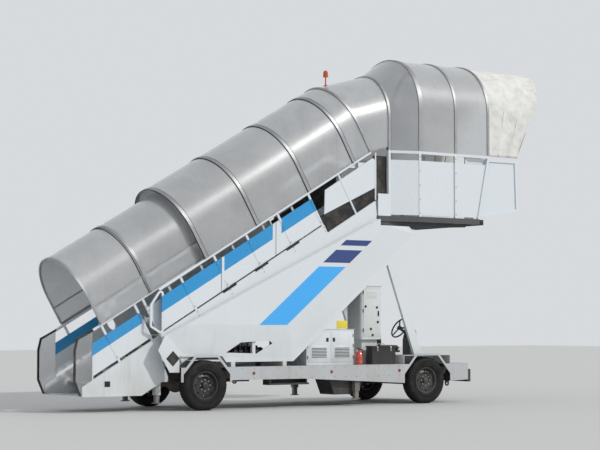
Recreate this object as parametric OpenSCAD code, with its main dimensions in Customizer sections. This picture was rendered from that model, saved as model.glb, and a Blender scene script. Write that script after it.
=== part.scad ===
// Mobile aircraft stairs: a truck chassis that carries a fixed main frame and lower
// flight, and an upper flight with the platform that slides out along the slope.
// +X points towards the aircraft, +Z up, the origin is the ground below the middle.

/* [Overall] */
// Reach of the entry canopy behind the front axle
rear_reach = 7150; // [7000:10:7400]
// Reach of the fabric hood ahead of the front axle
front_reach = 3050; // [2950:10:3200]
// Distance between the axles
wheelbase = 4700; // [4600:10:4750]
// Width over the side skirts
body_w = 2100; // [2080:10:2200]
// Height of the platform floor above the ground, flight pulled in
floor_z = 3400; // [3380:2:3420]
// Slope of both flights, degrees
slope = 30; // [29.5:0.1:30.5]

/* [Wheels] */
// Outer diameter of a tyre
tyre_d = 840; // [800:5:850]
// Width of a tyre
tyre_w = 240; // [200:5:250]
// Diameter of a rim at its flange
rim_d = 470; // [420:5:500]
// Diameter of a hub bore
hub_bore_d = 90; // [70:1:110]

/* [Chassis] */
// Height of the deck's top
deck_z = 720; // [700:5:740]
// Thickness of the deck plate
deck_t = 10; // [6:1:14]
// Height of a frame rail
rail_h = 200; // [160:5:220]
// Width of a frame rail
rail_w = 80; // [70:5:100]
// Distance between the frame rails' middles
rail_gap = 800; // [760:10:840]
// Thickness of the skirt sheet
skirt_t = 12; // [8:1:16]
// Height of the skirts' lower edge at the middle of the machine
skirt_z = 500; // [470:5:530]
// Half width of a wheel arch opening
arch_r = 500; // [480:5:520]
// Overhang of the chassis ahead of the front axle
front_overhang = 950; // [900:10:1000]
// Diameter of the tow pin hole
tow_bore_d = 36; // [30:1:42]

/* [Flights] */
// Rise of one step
rise = 194; // [190:1:196]
// Depth of a tread from front to back
tread_d = 290; // [270:5:300]
// Thickness of a tread
tread_t = 35; // [28:1:40]
// Clear half width between the lower guards
lower_in = 640; // [600:5:650]
// Clear half width between the upper guards
upper_in = 780; // [775:1:790]
// Thickness of a stringer
stringer_t = 45; // [35:1:50]
// Height of the lower nosing line above the upper one, square to the slope
lower_lift = 200; // [196:1:215]
// Height of the handrail's top above the upper nosing line, square to the slope
rail_up = 1070; // [1040:5:1100]
// Height of the upper canopy above its rail, square to the slope
upper_canopy_h = 1365; // [1340:5:1400]
// Height of the lower canopy above its rail, square to the slope
lower_canopy_h = 1240; // [1200:5:1260]
// Thickness of the canopy sheet
sheet_t = 10; // [6:1:14]
// Diameter of a handrail
handrail_d = 48; // [40:1:55]

/* [Platform] */
// Reach of the floor behind the front axle
plat_back = 980; // [960:5:1000]
// Reach of the floor ahead of the front axle
plat_front = 1300; // [1260:10:1400]
// Width of the platform over its guards
plat_w = 2000; // [1980:10:2060]
// Height of the platform's guards
guard_h = 1200; // [1150:10:1250]
// Height of the hood's crown above the floor
hood_h = 2985; // [2950:5:3050]

/* [Hidden] */

// Round surfaces
$fn = 64;
// Gap between a piece and the seat that carries it
seat = 0.3;
// Least gap between a moving piece and what it passes
clear = 6;
// Small overrun that keeps cuts open
eps = 1;

// Places along X, all from the front axle
axle_x = (rear_reach - front_reach) / 2;
rear_axle_x = axle_x - wheelbase;
plat_x = axle_x - plat_back;
half_w = body_w / 2;
wheel_z = tyre_d / 2;
wheel_y = half_w - tyre_w / 2 - 15;
function ahead(s) = axle_x + s;

// The slope's own frame: u runs up the slope from the platform's rear edge, w square to it
module on_slope() {
    translate([plat_x, 0, floor_z]) rotate([0, -slope, 0]) children();
}
function slope_x(u, w) = plat_x + u * cos(slope) - w * sin(slope);
function slope_z(u, w) = floor_z + u * sin(slope) + w * cos(slope);

module both_sides() {
    children();
    mirror([0, 1, 0]) children();
}
// An outline in X and Z, drawn out along Y from y0 over t
module side_plate(y0, t) {
    translate([0, y0 + t, 0]) rotate([90, 0, 0]) linear_extrude(t) children();
}
// An outline in Y and Z, drawn out along X from x0 over t
module cross_plate(x0, t) {
    translate([x0, 0, 0]) rotate([90, 0, 90]) linear_extrude(t) children();
}
module block(x, y, z) {
    translate([x[0], y[0], z[0]]) cube([x[1] - x[0], y[1] - y[0], z[1] - z[0]]);
}
// A door-shaped outline: straight sides and a round top
module arch(hw, straight, facets = 96) {
    translate([-hw, 0]) square([2 * hw, straight]);
    intersection() {
        translate([0, straight]) circle(hw, $fn = facets);
        translate([-hw, straight - eps]) square([2 * hw, hw + eps]);
    }
}
module arch_ring(hw, straight, t) {
    difference() {
        arch(hw, straight);
        translate([0, -eps]) arch(hw - t, straight + eps);
    }
}

// Flights
going_u = rise / sin(slope);
step_count = 16;
upper_steps = 12;
lower_first = 4;
upper_out = upper_in + stringer_t;
lower_out = lower_in + stringer_t;
stringer_top = 405;
lower_stringer_top = 350;
// The upper stringers are lower from notch_u up, where a black cover shows
notch_u = -1115;
notch_top = 245;
upper_low = -225;
lower_low = lower_lift - tread_d * sin(slope) - tread_t * cos(slope) - 5;
panel_low = 430;
panel_high = rail_up - 145;
lower_panel_low = 400;
lower_panel_high = rail_up - 205;
panel_t = 16;
rail_mid = rail_up - handrail_d / 2;
upper_end_u = -4950;
lower_top_u = -1450;
entry_step_z = floor_z - step_count * rise;
entry_z = entry_step_z - 34;
post_w = 40;

// Main frame
frame_out = 930;
skin_t = 8;
bar_t = 60;
edge_bar = 55;
frame_in = frame_out - skin_t - bar_t;
track_w = -145;
track_half = 36;
track_t = 12;
track_ends = [-4860, -250];
roller_u = [-4800, -2650];

// Platform and hood
plat_half = plat_w / 2;
guard_z = floor_z + guard_h;
hood_hw = plat_half - 15;
hood_back = -140;
hood_front = 1550;
hood_straight = hood_h - guard_h - hood_hw;
// The upper canopy leaves the slope at bend_u, and meets the flared throat at throat_x
bend_u = 450;
throat_x = ahead(-700);
throat_half = 845;

// Chassis
frame_z = deck_z - deck_t - rail_h;
rail_y = rail_gap / 2;
kingpin_y = wheel_y - tyre_w / 2 - 35;
box_in = 560;
box_r = arch_r + 40;
box_z = 880;
rails_back = -wheelbase - 540;
rear_arch_r = 455;
rim_band = 42;
deck_back = -wheelbase + 450;

function sloped(u, w) = [slope_x(u, w), slope_z(u, w)];
// Point on the line of height w over the nosing line, at a place x
function line_at(x, w) = [x, floor_z + (w + (x - plat_x) * sin(slope)) / cos(slope)];
// A bar of width w laid inside the edge from p to q of a clockwise outline
function bar(p, q, w) = let (d = (q - p) / norm(q - p), n = [d[1], -d[0]]) [p, q, q + n * w, p + n * w];

// The points of a clockwise outline moved in by w
function inset(p, w) = let (last = len(p) - 1) [
    for (k = [0:last]) let (
        d = (p[k] - p[k == 0 ? last : k - 1]) / norm(p[k] - p[k == 0 ? last : k - 1]),
        e = (p[k == last ? 0 : k + 1] - p[k]) / norm(p[k == last ? 0 : k + 1] - p[k]),
        n = [d[1], -d[0]],
        m = [e[1], -e[0]]
    ) p[k] + (n + m) * w / (1 + n * m)
];
module round_square(size, r) {
    translate([r, 0]) square([size[0] - 2 * r, size[1]]);
    translate([0, r]) square([size[0], size[1] - 2 * r]);
    for (x = [r, size[0] - r], y = [r, size[1] - r]) translate([x, y]) circle(r, $fn = 32);
}

// Chassis
module chassis_frame() color("whitesmoke") {
    both_sides() {
        block([ahead(rails_back), ahead(front_overhang)], [rail_y - rail_w / 2, rail_y + rail_w / 2], [frame_z, deck_z - deck_t]);
        // Outriggers under the deck
        for (s = [deck_back + 100, -3300, -2300, -1300, -720, 640])
            block([ahead(s), ahead(s + 60)], [rail_y + rail_w / 2, half_w - skirt_t], [deck_z - deck_t - 60, deck_z - deck_t]);
        // Sleeve of the front jack
        difference() {
            block([ahead(jack_front_s - 50), ahead(jack_front_s + 50)], [jack_front_y - 50, jack_front_y + 50], [260, deck_z - deck_t]);
            block([ahead(jack_front_s) - jack_bore, ahead(jack_front_s) + jack_bore],
                [jack_front_y - jack_bore, jack_front_y + jack_bore], [200, deck_z - deck_t - 20]);
        }
        block([ahead(jack_front_s - 40), ahead(jack_front_s + 40)], [rail_y + rail_w / 2, jack_front_y - 50], [560, 640]);
    }
    // Lashing eyes at the back
    both_sides() lashing_eye(lash_rear_s, frame_z);
    for (s = [rails_back, deck_back + 50, -3100, -2100, -1200, 300, 870])
        block([ahead(s), ahead(s + 80)], [-rail_y, rail_y], [frame_z + 30, deck_z - deck_t - 30]);
}

// A plate with a hole that hangs from a height top, to lash the machine down
lash_r = 20;
lash_y = rail_y - 10;
lash_drop = 55;
lash_rear_s = -3750;
lash_front_s = 980;
module lashing_eye(s, top) side_plate(lash_y, 20) translate([ahead(s), top - lash_drop]) difference() {
    union() {
        circle(45);
        translate([-45, 0]) square([90, lash_drop]);
    }
    circle(lash_r);
}

module deck() color("lightgray") {
    difference() {
        union() {
            block([ahead(deck_back), ahead(front_overhang)], [-half_w + skirt_t, half_w - skirt_t], [deck_z - deck_t, deck_z]);
            block([ahead(rails_back + 140), ahead(deck_back)], [-700, 700], [deck_z - deck_t, deck_z]);
        }
        both_sides() block([ahead(-box_r + 8), ahead(box_r - 8)], [box_in + 8, half_w], [deck_z - 100, deck_z + 100]);
    }
    // Boxes over the steered wheels
    both_sides() difference() {
        block([ahead(-box_r), ahead(box_r)], [box_in, half_w - skirt_t], [deck_z - deck_t, box_z]);
        block([ahead(-box_r + 8), ahead(box_r - 8)], [box_in + 8, half_w], [deck_z - 100, box_z - 8]);
    }
}

// Octagon round a wheel: half length r at the bottom, cut corners above, top at z
module arch_cut(s, r, top, low) {
    corner = top - 0.62 * r;
    polygon([
        [ahead(s - r), low], [ahead(s - r), corner], [ahead(s - 0.45 * r), top],
        [ahead(s + 0.45 * r), top], [ahead(s + r), corner], [ahead(s + r), low]
    ]);
}
module skirt() color("white") side_plate(half_w - skirt_t, skirt_t) difference() {
    union() {
        polygon([
            [ahead(-wheelbase - rear_arch_r - rim_band), 560], [ahead(-wheelbase - rear_arch_r - rim_band), deck_z],
            [ahead(front_overhang), deck_z], [ahead(front_overhang), 420], [ahead(arch_r), 400],
            [ahead(-arch_r), 380], [ahead(-2740), skirt_z], [ahead(-wheelbase + rear_arch_r), skirt_z]
        ]);
        arch_cut(0, arch_r + 30 + rim_band, box_z + 30, 420);
        arch_cut(-wheelbase, rear_arch_r + rim_band, 885 + rim_band, 480);
    }
    arch_cut(0, arch_r + 30, box_z - 10, 0);
    arch_cut(-wheelbase, rear_arch_r, 885, 0);
}
module skirt_left() skirt();
module skirt_right() mirror([0, 1, 0]) skirt();

module front_axle() color("dimgray") {
    difference() {
        union() {
            block([axle_x - 45, axle_x + 45], [-kingpin_y + 60, kingpin_y - 60], [wheel_z - 90, wheel_z - 10]);
            both_sides() {
                block([axle_x - 45, axle_x + 45], [kingpin_y - 110, kingpin_y - 50], [wheel_z - 112, wheel_z + 112]);
                for (z = [-112, 86]) {
                    translate([axle_x, kingpin_y, wheel_z + z]) cylinder(r = lug_r, h = 26);
                    block([axle_x - 45, axle_x + 45], [kingpin_y - 60, kingpin_y], [wheel_z + z, wheel_z + z + 26]);
                }
            }
        }
        both_sides() translate([axle_x, kingpin_y, 0]) cylinder(r = kingpin_r + seat, h = 1000);
    }
    // Spring pads
    both_sides() block([axle_x - 60, axle_x + 60], [rail_y - 40, rail_y + 40], [wheel_z - 10, wheel_z + 14]);
}
kingpin_r = 22;
lug_r = 46;

module rear_axle() color("dimgray") {
    translate([rear_axle_x, -wheel_y - 60, wheel_z]) rotate([-90, 0, 0]) cylinder(r = hub_bore_d / 2 - seat, h = 2 * wheel_y + 120);
    translate([rear_axle_x, -wheel_y + 150, wheel_z]) rotate([-90, 0, 0]) cylinder(r = 62, h = 2 * wheel_y - 300);
    translate([rear_axle_x, 0, wheel_z]) sphere(150);
    translate([rear_axle_x, 0, wheel_z]) rotate([0, 90, 0]) cylinder(r1 = 110, r2 = 55, h = 260);
    // Drums that back the wheels
    both_sides() translate([rear_axle_x, wheel_y - 130, wheel_z]) rotate([-90, 0, 0]) cylinder(r = 150, h = 60);
    both_sides() block([rear_axle_x - 60, rear_axle_x + 60], [rail_y - 40, rail_y + 40], [wheel_z + 40, wheel_z + 76]);
}

// A pack of leaves below a frame rail, thick at the axle and thin at its eyes
module leaf_pack(x, low) {
    for (k = [0:3]) block([x - 520 + 110 * k, x + 520 - 110 * k], [rail_y - 35, rail_y + 35], [low + 36 - 12 * k, low + 48 - 12 * k]);
    for (side = [-1, 1]) block([x + side * 500 - 25, x + side * 500 + 25], [rail_y - 35, rail_y + 35], [low + 48, frame_z]);
}
module leaf_springs() color("dimgray") both_sides() {
    leaf_pack(axle_x, wheel_z + 14);
    difference() {
        leaf_pack(rear_axle_x, wheel_z + 14);
        block([rear_axle_x - 61, rear_axle_x + 61], [0, 900], [0, wheel_z + 76]);
    }
}

engine_s = [-2540, -1510];
engine_y = [210 - half_w, 340];
engine_top = 1345;
module engine_block() color("dimgray")
    block([ahead(engine_s[0] + 130), ahead(engine_s[1] - 150)], [engine_y[0] + 150, engine_y[1] - 150], [deck_z, engine_top - 160]);
module engine_housing() color("white") difference() {
    block([ahead(engine_s[0]), ahead(engine_s[1])], engine_y, [deck_z, engine_top]);
    block([ahead(engine_s[0] + 15), ahead(engine_s[1] - 15)], [engine_y[0] + 15, engine_y[1] - 15], [deck_z - 1, engine_top - 15]);
    // Air slots on the left
    for (k = [0:5]) block([ahead(-2380), ahead(-1790)], [engine_y[1] - 40, engine_y[1] + 1], [930 + 50 * k, 952 + 50 * k]);
}

cabinet_s = [-1290, -825];
cabinet_y = [290 - half_w, 750 - half_w];
cabinet_foot = deck_z + 445;
cabinet_top = 2120;
module control_cabinet() color("honeydew") {
    translate([ahead(cabinet_s[0]), cabinet_y[0], cabinet_foot]) linear_extrude(cabinet_top - cabinet_foot)
        round_square([cabinet_s[1] - cabinet_s[0], cabinet_y[1] - cabinet_y[0]], 60);
    // Stand
    block([ahead(cabinet_s[0] + 60), ahead(cabinet_s[1] - 60)], [cabinet_y[0] + 70, cabinet_y[1] - 60], [deck_z, cabinet_foot]);
}

// Hand extinguisher behind the engine housing
extinguisher_x = ahead(-1430);
extinguisher_y = 165 - half_w;
module extinguisher() color("orangered") translate([extinguisher_x, extinguisher_y, deck_z]) rotate_extrude($fn = 48) polygon([
    [0, 0], [58, 0], [64, 8], [64, 185], [52, 215], [26, 232], [20, 240], [20, 262], [0, 262]
]);

seat_y = -340;
seat_s = -735;
seat_top = deck_z + 335;
desk_hw = 110;
module driver_seat() color("black") {
    block([ahead(seat_s + 90), ahead(seat_s + 370)], [seat_y - 150, seat_y + 150], [deck_z, seat_top - 95]);
    translate([ahead(seat_s + 20), seat_y - 235, seat_top - 95]) linear_extrude(95) round_square([480, 470], 60);
    translate([ahead(seat_s), seat_y - 225, seat_top - 15]) rotate([0, -6, 0]) cross_plate(0, 90) round_square([450, 560], 80);
}
module driver_desk() color("dimgray") {
    side_plate(seat_y - desk_hw, 2 * desk_hw) polygon([
        [ahead(60), deck_z], [ahead(230), deck_z], [ahead(230), 1180], [ahead(200), 1330], [ahead(100), 1290], [ahead(60), 1150]
    ]);
    // Steering column
    translate([ahead(110), seat_y, 1240]) rotate([0, -58, 0]) cylinder(r = 28, h = 240);
}
module steering_wheel() color("black") translate([ahead(110), seat_y, 1240]) rotate([0, -58, 0]) translate([0, 0, 240]) {
    rotate_extrude() translate([195, 0]) circle(14, $fn = 32);
    cylinder(r = 45, h = 26);
    for (a = [30, 150, 270]) rotate(a) translate([0, -14, 0]) cube([190, 28, 12]);
}

tank_side = 150;
tank_w = 440;
tank_y = tank_side - half_w;
battery_side = 80;
battery_w = 180;
battery_y = battery_side - half_w;
battery_h = 300;
battery_rim = 8;
module tank_and_battery() color("dimgray") {
    side_plate(tank_y, tank_w) polygon([[ahead(-2110), frame_z], [ahead(-1310), frame_z], [ahead(-1490), 200], [ahead(-1980), 200]]);
    for (s = [-1960, -1520]) block([ahead(s), ahead(s + 40)], [tank_y, tank_y + tank_w], [frame_z, deck_z - deck_t]);
    // Battery box on the deck
    block([ahead(-1200), ahead(-680)], [battery_y, battery_y + battery_w], [deck_z, deck_z + battery_h]);
    block([ahead(-1210), ahead(-670)], [battery_y - battery_rim, battery_y + battery_w + battery_rim],
        [deck_z + battery_h, deck_z + battery_h + 30]);
}

module running_steps() color("black") both_sides() {
    block([ahead(-3460), ahead(-2640)], [half_w - 200, half_w + 10], [400, 430]);
    for (s = [-3440, -2680]) block([ahead(s), ahead(s + 20)], [half_w - 190, half_w - skirt_t - 4], [430, deck_z - deck_t]);
    block([ahead(-3460), ahead(-2640)], [half_w - 200, half_w - 190], [430, 520]);
}

bumper_s = 1010;
module front_bumper() color("dimgray") difference() {
    union() {
        translate([ahead(front_overhang), 0, 0]) block([0, bumper_s - front_overhang], [-half_w, half_w], [380, 610]);
        block([ahead(front_overhang), ahead(bumper_s)], [-rail_y - rail_w / 2, rail_y + rail_w / 2], [610, 690]);
        both_sides() lashing_eye(lash_front_s, 380);
        // Tow jaw
        for (z = [420, 500]) {
            block([ahead(bumper_s) - 1, ahead(bumper_s + 60)], [-60, 60], [z, z + 25]);
            translate([ahead(bumper_s + 60), 0, z]) cylinder(r = 60, h = 25);
        }
    }
    translate([ahead(bumper_s + 60), 0, 0]) cylinder(d = tow_bore_d, h = 1000);
    both_sides() translate([ahead(bumper_s - 30), 760, 495]) rotate([0, 90, 0]) cylinder(r = 75, h = 100);
}

// Main frame: a sheet skin on edge bars, open below for the inside to be reached
frame_low = deck_z + 80;
frame_heel = [ahead(-2880), frame_low];
frame_nose = [ahead(-140), floor_z - 330];
frame_line = [
    [ahead(-5450), 1240], [ahead(-1020), floor_z - 70], [ahead(-1020), floor_z - 185], [ahead(-330), floor_z - 185],
    frame_nose, frame_heel, [ahead(-4250), frame_low], [ahead(-4330), 900], [ahead(-5120), 900]
];
// Height of the frame's slanting lower edge at a place x
function under_frame(x) = frame_heel[1] + (x - frame_heel[0]) * (frame_nose[1] - frame_heel[1]) / (frame_nose[0] - frame_heel[0]);
// Sheet that runs down behind the rear wheel
frame_tail = [
    [ahead(-5450), 1240], [ahead(-5000), 1150], [ahead(-5120), 905], [ahead(-5165), 905], [ahead(-5165), 640],
    [ahead(-5350), 640], [ahead(-5570), 1010]
];
frame_hole = [[ahead(-4260), 960], [ahead(-3980), 1130], [ahead(-3400), 1160], [ahead(-3330), 1110], [ahead(-3640), 940]];
// The skin stands proud above a fold, and slants in to its lower edges
fold_d = 60;
fold_foot = [ahead(-3034), 1430];
fold_flat = [
    [ahead(-5450) + (fold_foot[1] - 1240) * 4430 / (floor_z - 1310), fold_foot[1]], frame_line[1], frame_line[2],
    [fold_foot[0] + (frame_line[2][1] - fold_foot[1]) * (frame_nose[0] - frame_heel[0]) / (frame_nose[1] - frame_heel[1]),
        frame_line[2][1]], fold_foot
];
module frame_fold(edge, rim, t) intersection() {
    hull() {
        side_plate(frame_out - skin_t - t, eps) polygon(inset(frame_line, edge));
        side_plate(frame_out + fold_d - t, eps) polygon(inset(fold_flat, rim));
    }
    side_plate(0, 2 * frame_out) polygon(inset(frame_line, rim));
}
module main_frame() color("whitesmoke") {
    difference() {
        union() {
            side_plate(frame_out - skin_t, skin_t) {
                polygon(frame_line);
                polygon(frame_tail);
            }
            frame_fold(0, 0, eps);
        }
        frame_fold(40, 10, skin_t);
        side_plate(frame_in, 300) polygon(frame_hole);
    }
    // Edge bars and the upright at the panel joint
    side_plate(frame_in, bar_t) difference() {
        polygon(frame_line);
        intersection() {
            polygon(inset(frame_line, edge_bar));
            union() {
                translate([-9000, 0]) square([9000 + ahead(-3720), 5000]);
                translate([ahead(-3660), 0]) square([9000, 5000]);
            }
        }
    }
    // Track in which the upper flight's rollers run
    on_slope() difference() {
        translate([track_ends[0], upper_out + 5, track_w - track_half - track_t])
            cube([track_ends[1] - track_ends[0], frame_in + bar_t / 2 - upper_out - 5, 2 * (track_half + track_t)]);
        translate([track_ends[0] - eps, upper_out, track_w - track_half])
            cube([track_ends[1] - track_ends[0] + 2 * eps, frame_in - upper_out - 5, 2 * track_half]);
    }
}
module main_frame_left() main_frame();
module main_frame_right() mirror([0, 1, 0]) main_frame();

module main_frame_ties() color("whitesmoke") {
    for (s = [deck_back + 100, -3100]) block([ahead(s), ahead(s + 80)], [-frame_out, frame_out], [deck_z, frame_low]);
    block([ahead(-960), ahead(-880)], [-frame_in, frame_in], [under_frame(ahead(-880)), under_frame(ahead(-880)) + 80]);
    // Cradle of the lift cylinder
    on_slope() block([lift_end_u - 60, lift_end_u], [-70, 70], [lift_w - 45, lift_w + 55]);
    block([slope_x(lift_end_u, lift_w) - 40, slope_x(lift_end_u, lift_w) + 10], [-70, 70], [deck_z, slope_z(lift_end_u, lift_w) - 40]);
}
module struts() color("silver") both_sides() side_plate(frame_in, bar_t - 2) polygon([
    [ahead(-30), box_z], [ahead(-205), box_z], [ahead(-810), under_frame(ahead(-810)) - 1],
    [ahead(-640), under_frame(ahead(-640)) - 1]
]);

lift_w = -330;
lift_end_u = -4540;
lift_length = 2650;
lift_rod_r = 35;
module lift_barrel() color("silver") on_slope() translate([lift_end_u, 0, lift_w]) rotate([0, 90, 0]) difference() {
    cylinder(r = 55, h = lift_length);
    translate([0, 0, 60]) cylinder(r = lift_rod_r + seat, h = lift_length);
}
module lift_rod() color("lightgray") on_slope() {
    translate([lift_end_u + 90, 0, lift_w]) rotate([0, 90, 0]) cylinder(r = lift_rod_r, h = -300 - lift_end_u - 90);
    block([-330, -270], [-50, 50], [lift_w - 50, upper_low]);
}

// Lower flight
// A row of level treads along the nosing line that lies lift above the upper one
module tread_row(first, last, half_y, lift) {
    for (k = [first:last]) let (z = floor_z - k * rise, u = (z - floor_z - lift * cos(slope)) / sin(slope))
        translate([slope_x(u, lift), -half_y, z - tread_t]) cube([tread_d, 2 * half_y, tread_t]);
}
entry_s = [-6840, rails_back - 500];
beam_back = entry_s[0] + 500;
module lower_treads() color("silver") {
    tread_row(lower_first, step_count - 1, lower_in, lower_lift);
    block([ahead(entry_s[0]), ahead(-6380)], [-lower_in, lower_in], [entry_z + 12, entry_step_z]);
}
module lower_stringers() color("whitesmoke") {
    both_sides() side_plate(lower_in, stringer_t) polygon([
        [ahead(entry_s[0]), entry_z], [ahead(entry_s[1]), entry_z], [ahead(rails_back - 120), 480],
        [ahead(rails_back), 480], [ahead(rails_back), 560], sloped(-5060, lower_low), sloped(lower_top_u, lower_low),
        sloped(lower_top_u, lower_stringer_top), line_at(ahead(entry_s[0]), lower_stringer_top)
    ]);
    // Floor of the entry and the beams that carry the flight on the chassis
    block([ahead(entry_s[0]), ahead(entry_s[1])], [-lower_in, lower_in], [entry_z, entry_z + 12]);
    both_sides() side_plate(rail_y - rail_w / 2, rail_w) polygon([
        [ahead(beam_back), entry_z + 12], [ahead(entry_s[1]), entry_z + 12], [ahead(rails_back - 120), 480],
        [ahead(rails_back), 480], [ahead(rails_back), 560], [ahead(rails_back - 260), 560],
        [ahead(entry_s[1] - 60), 420], [ahead(beam_back), 420]
    ]);
    block([ahead(jack_rear_s + 50), ahead(rails_back)], [-lower_in, lower_in], [480, 560]);
    // Sleeves of the rear jacks
    both_sides() difference() {
        block([ahead(jack_rear_s - 50), ahead(jack_rear_s + 50)], [jack_rear_y - 50, jack_rear_y + 50], [260, 560]);
        block([ahead(jack_rear_s) - jack_bore, ahead(jack_rear_s) + jack_bore],
            [jack_rear_y - jack_bore, jack_rear_y + jack_bore], [200, 540]);
    }
}

// A run of guard panels between posts on a slope; posts lists their places along u, the rail starts at rail_u,
// and ends gives the panels' lower and upper edges
module guard_run(y, posts, foot_w, rail_u, ends) {
    last = len(posts) - 1;
    for (u = posts) block([u - post_w / 2, u + post_w / 2], [y - 13, y + 13], [foot_w + seat, rail_mid]);
    for (k = [0:last - 1]) block([posts[k], posts[k + 1]], [y - panel_t / 2, y + panel_t / 2], ends);
    translate([rail_u, y, rail_mid]) rotate([0, 90, 0])
        cylinder(d = handrail_d, h = posts[last] + post_w / 2 - rail_u, $fn = 32);
}
entry_posts = [-5760, -5060];
lower_posts = [-4880, -4340, -3620, -2900, -2180, -1480];
entry_rail_u = -5930;
pane_x = ahead(-6640);
entry_line = [
    sloped(entry_rail_u - 2 * eps, rail_mid), [ahead(-6920), 1195], [ahead(-6965), 1010],
    [ahead(-6965), 515], [ahead(-6865), entry_z + 28]
];
edge_t = 30;
// The band of the entry's rubber edge, t wide along its line
module entry_band(t) {
    for (k = [1:len(entry_line) - 1]) let (p = entry_line[k - 1], q = entry_line[k], d = (q - p) / norm(q - p)) {
        polygon(bar(p + [d[1], -d[0]] * t / 2, q + [d[1], -d[0]] * t / 2, -t));
        translate(q) circle(t / 2);
    }
}
module entry_edges() color("dimgray") both_sides() {
    side_plate(lower_in + (stringer_t - edge_t) / 2, edge_t) entry_band(edge_t);
    // Black plates on the stringer and on the frame's tail
    block([ahead(-6430), ahead(-6330)], [lower_out + seat, lower_out + 6], [420, 510]);
    translate([ahead(-5290), frame_out + seat + 3, 870]) rotate([0, 45, 0]) cube([180, 6, 180], center = true);
}

module lower_guards() color("white") both_sides() {
    y = lower_in + stringer_t / 2;
    ends = [lower_panel_low, lower_panel_high];
    on_slope() guard_run(y, entry_posts, lower_stringer_top, entry_rail_u, ends);
    on_slope() guard_run(y, lower_posts, lower_stringer_top, entry_posts[1], ends);
    // Panel at the entry, cut upright, in its edge strip
    side_plate(y - panel_t / 2, panel_t) polygon([
        line_at(pane_x, ends[0]), line_at(pane_x, ends[1]),
        sloped(entry_posts[0], ends[1]), sloped(entry_posts[0], ends[0])
    ]);
    side_plate(y - 13, 26) polygon([
        line_at(pane_x - 10, lower_stringer_top + seat), line_at(pane_x - 10, ends[1]),
        line_at(pane_x + 10, ends[1]), line_at(pane_x + 10, lower_stringer_top + seat)
    ]);
}
// Smoked panes between the entry's edges and the first panels
module entry_panes() color([0.7, 0.75, 0.78, 0.5]) both_sides()
    side_plate(lower_in + stringer_t / 2 - 5, 10) difference() {
        polygon(concat(entry_line, [
            [ahead(entry_s[0]) - seat, entry_z + 28], line_at(ahead(entry_s[0]) - seat, lower_stringer_top + seat),
            line_at(pane_x - 10 - seat, lower_stringer_top + seat), line_at(pane_x - 10 - seat, rail_up - handrail_d)
        ]));
        entry_band(edge_t + 2 * seat);
    }

canopy_base = rail_up + seat;
lower_hw = lower_out + 30;
lower_straight = lower_canopy_h - lower_hw;
end_hoop_h = 10;
lower_end_u = -(rear_reach - plat_back - (canopy_base + lower_canopy_h + end_hoop_h) * sin(slope)) / cos(slope);
upper_hw = upper_out + 5;
upper_straight = upper_canopy_h - upper_hw;
upper_canopy_u = -3570;
// Rails on the handrails that carry a canopy's edges, between y0 and y1
module base_rails(from, to, y0, y1) both_sides() block([from, to], [y0, y1], [0, 28]);
// A hoop round a canopy, proud of its sheet by height
module hoop(hw, straight, height) difference() {
    arch(hw + height, straight);
    translate([0, -eps]) arch(hw + seat, straight + eps);
}
module lower_canopy() color([0.7, 0.75, 0.78, 0.5]) on_slope() translate([0, 0, canopy_base])
    cross_plate(lower_end_u, lower_top_u - lower_end_u) arch_ring(lower_hw, lower_straight, sheet_t);
module lower_ribs() color("gray") on_slope() translate([0, 0, canopy_base]) {
    base_rails(lower_end_u, lower_top_u, lower_in + 5, lower_hw - sheet_t - seat);
    cross_plate(lower_end_u, 40) hoop(lower_hw, lower_straight, end_hoop_h);
    cross_plate(lower_end_u + 1080, 60) hoop(lower_hw, lower_straight, 14);
    // Long rails above the sheet's clear foot
    both_sides() block([lower_end_u, lower_top_u], [lower_hw + seat, lower_hw + 10], [290, 320]);
}

// Upper flight
module upper_treads() color("silver") tread_row(1, upper_steps, upper_in, 0);
module upper_stringers() color("whitesmoke") {
    both_sides() side_plate(upper_in, stringer_t) polygon([
        sloped(upper_end_u, upper_low), line_at(plat_x, upper_low), line_at(plat_x, 0),
        line_at(plat_x - 30, notch_top), sloped(notch_u, notch_top),
        sloped(notch_u, stringer_top), sloped(upper_end_u, stringer_top)
    ]);
    on_slope() for (u = [upper_end_u, -2700, -370]) block([u, u + 80], [-upper_in, upper_in], [upper_low, upper_low + 50]);
    // Rollers on their pins
    both_sides() on_slope() for (u = roller_u) translate([u, upper_out - 1, track_w]) rotate([-90, 0, 0]) {
        cylinder(r = 14, h = 12);
        translate([0, 0, 9]) cylinder(r = track_half - seat, h = frame_in - upper_out - 5 - 12);
    }
}
upper_posts = [-4140, -3390, -2640, -1890, -1140];
upper_rail_u = -4600;
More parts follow.
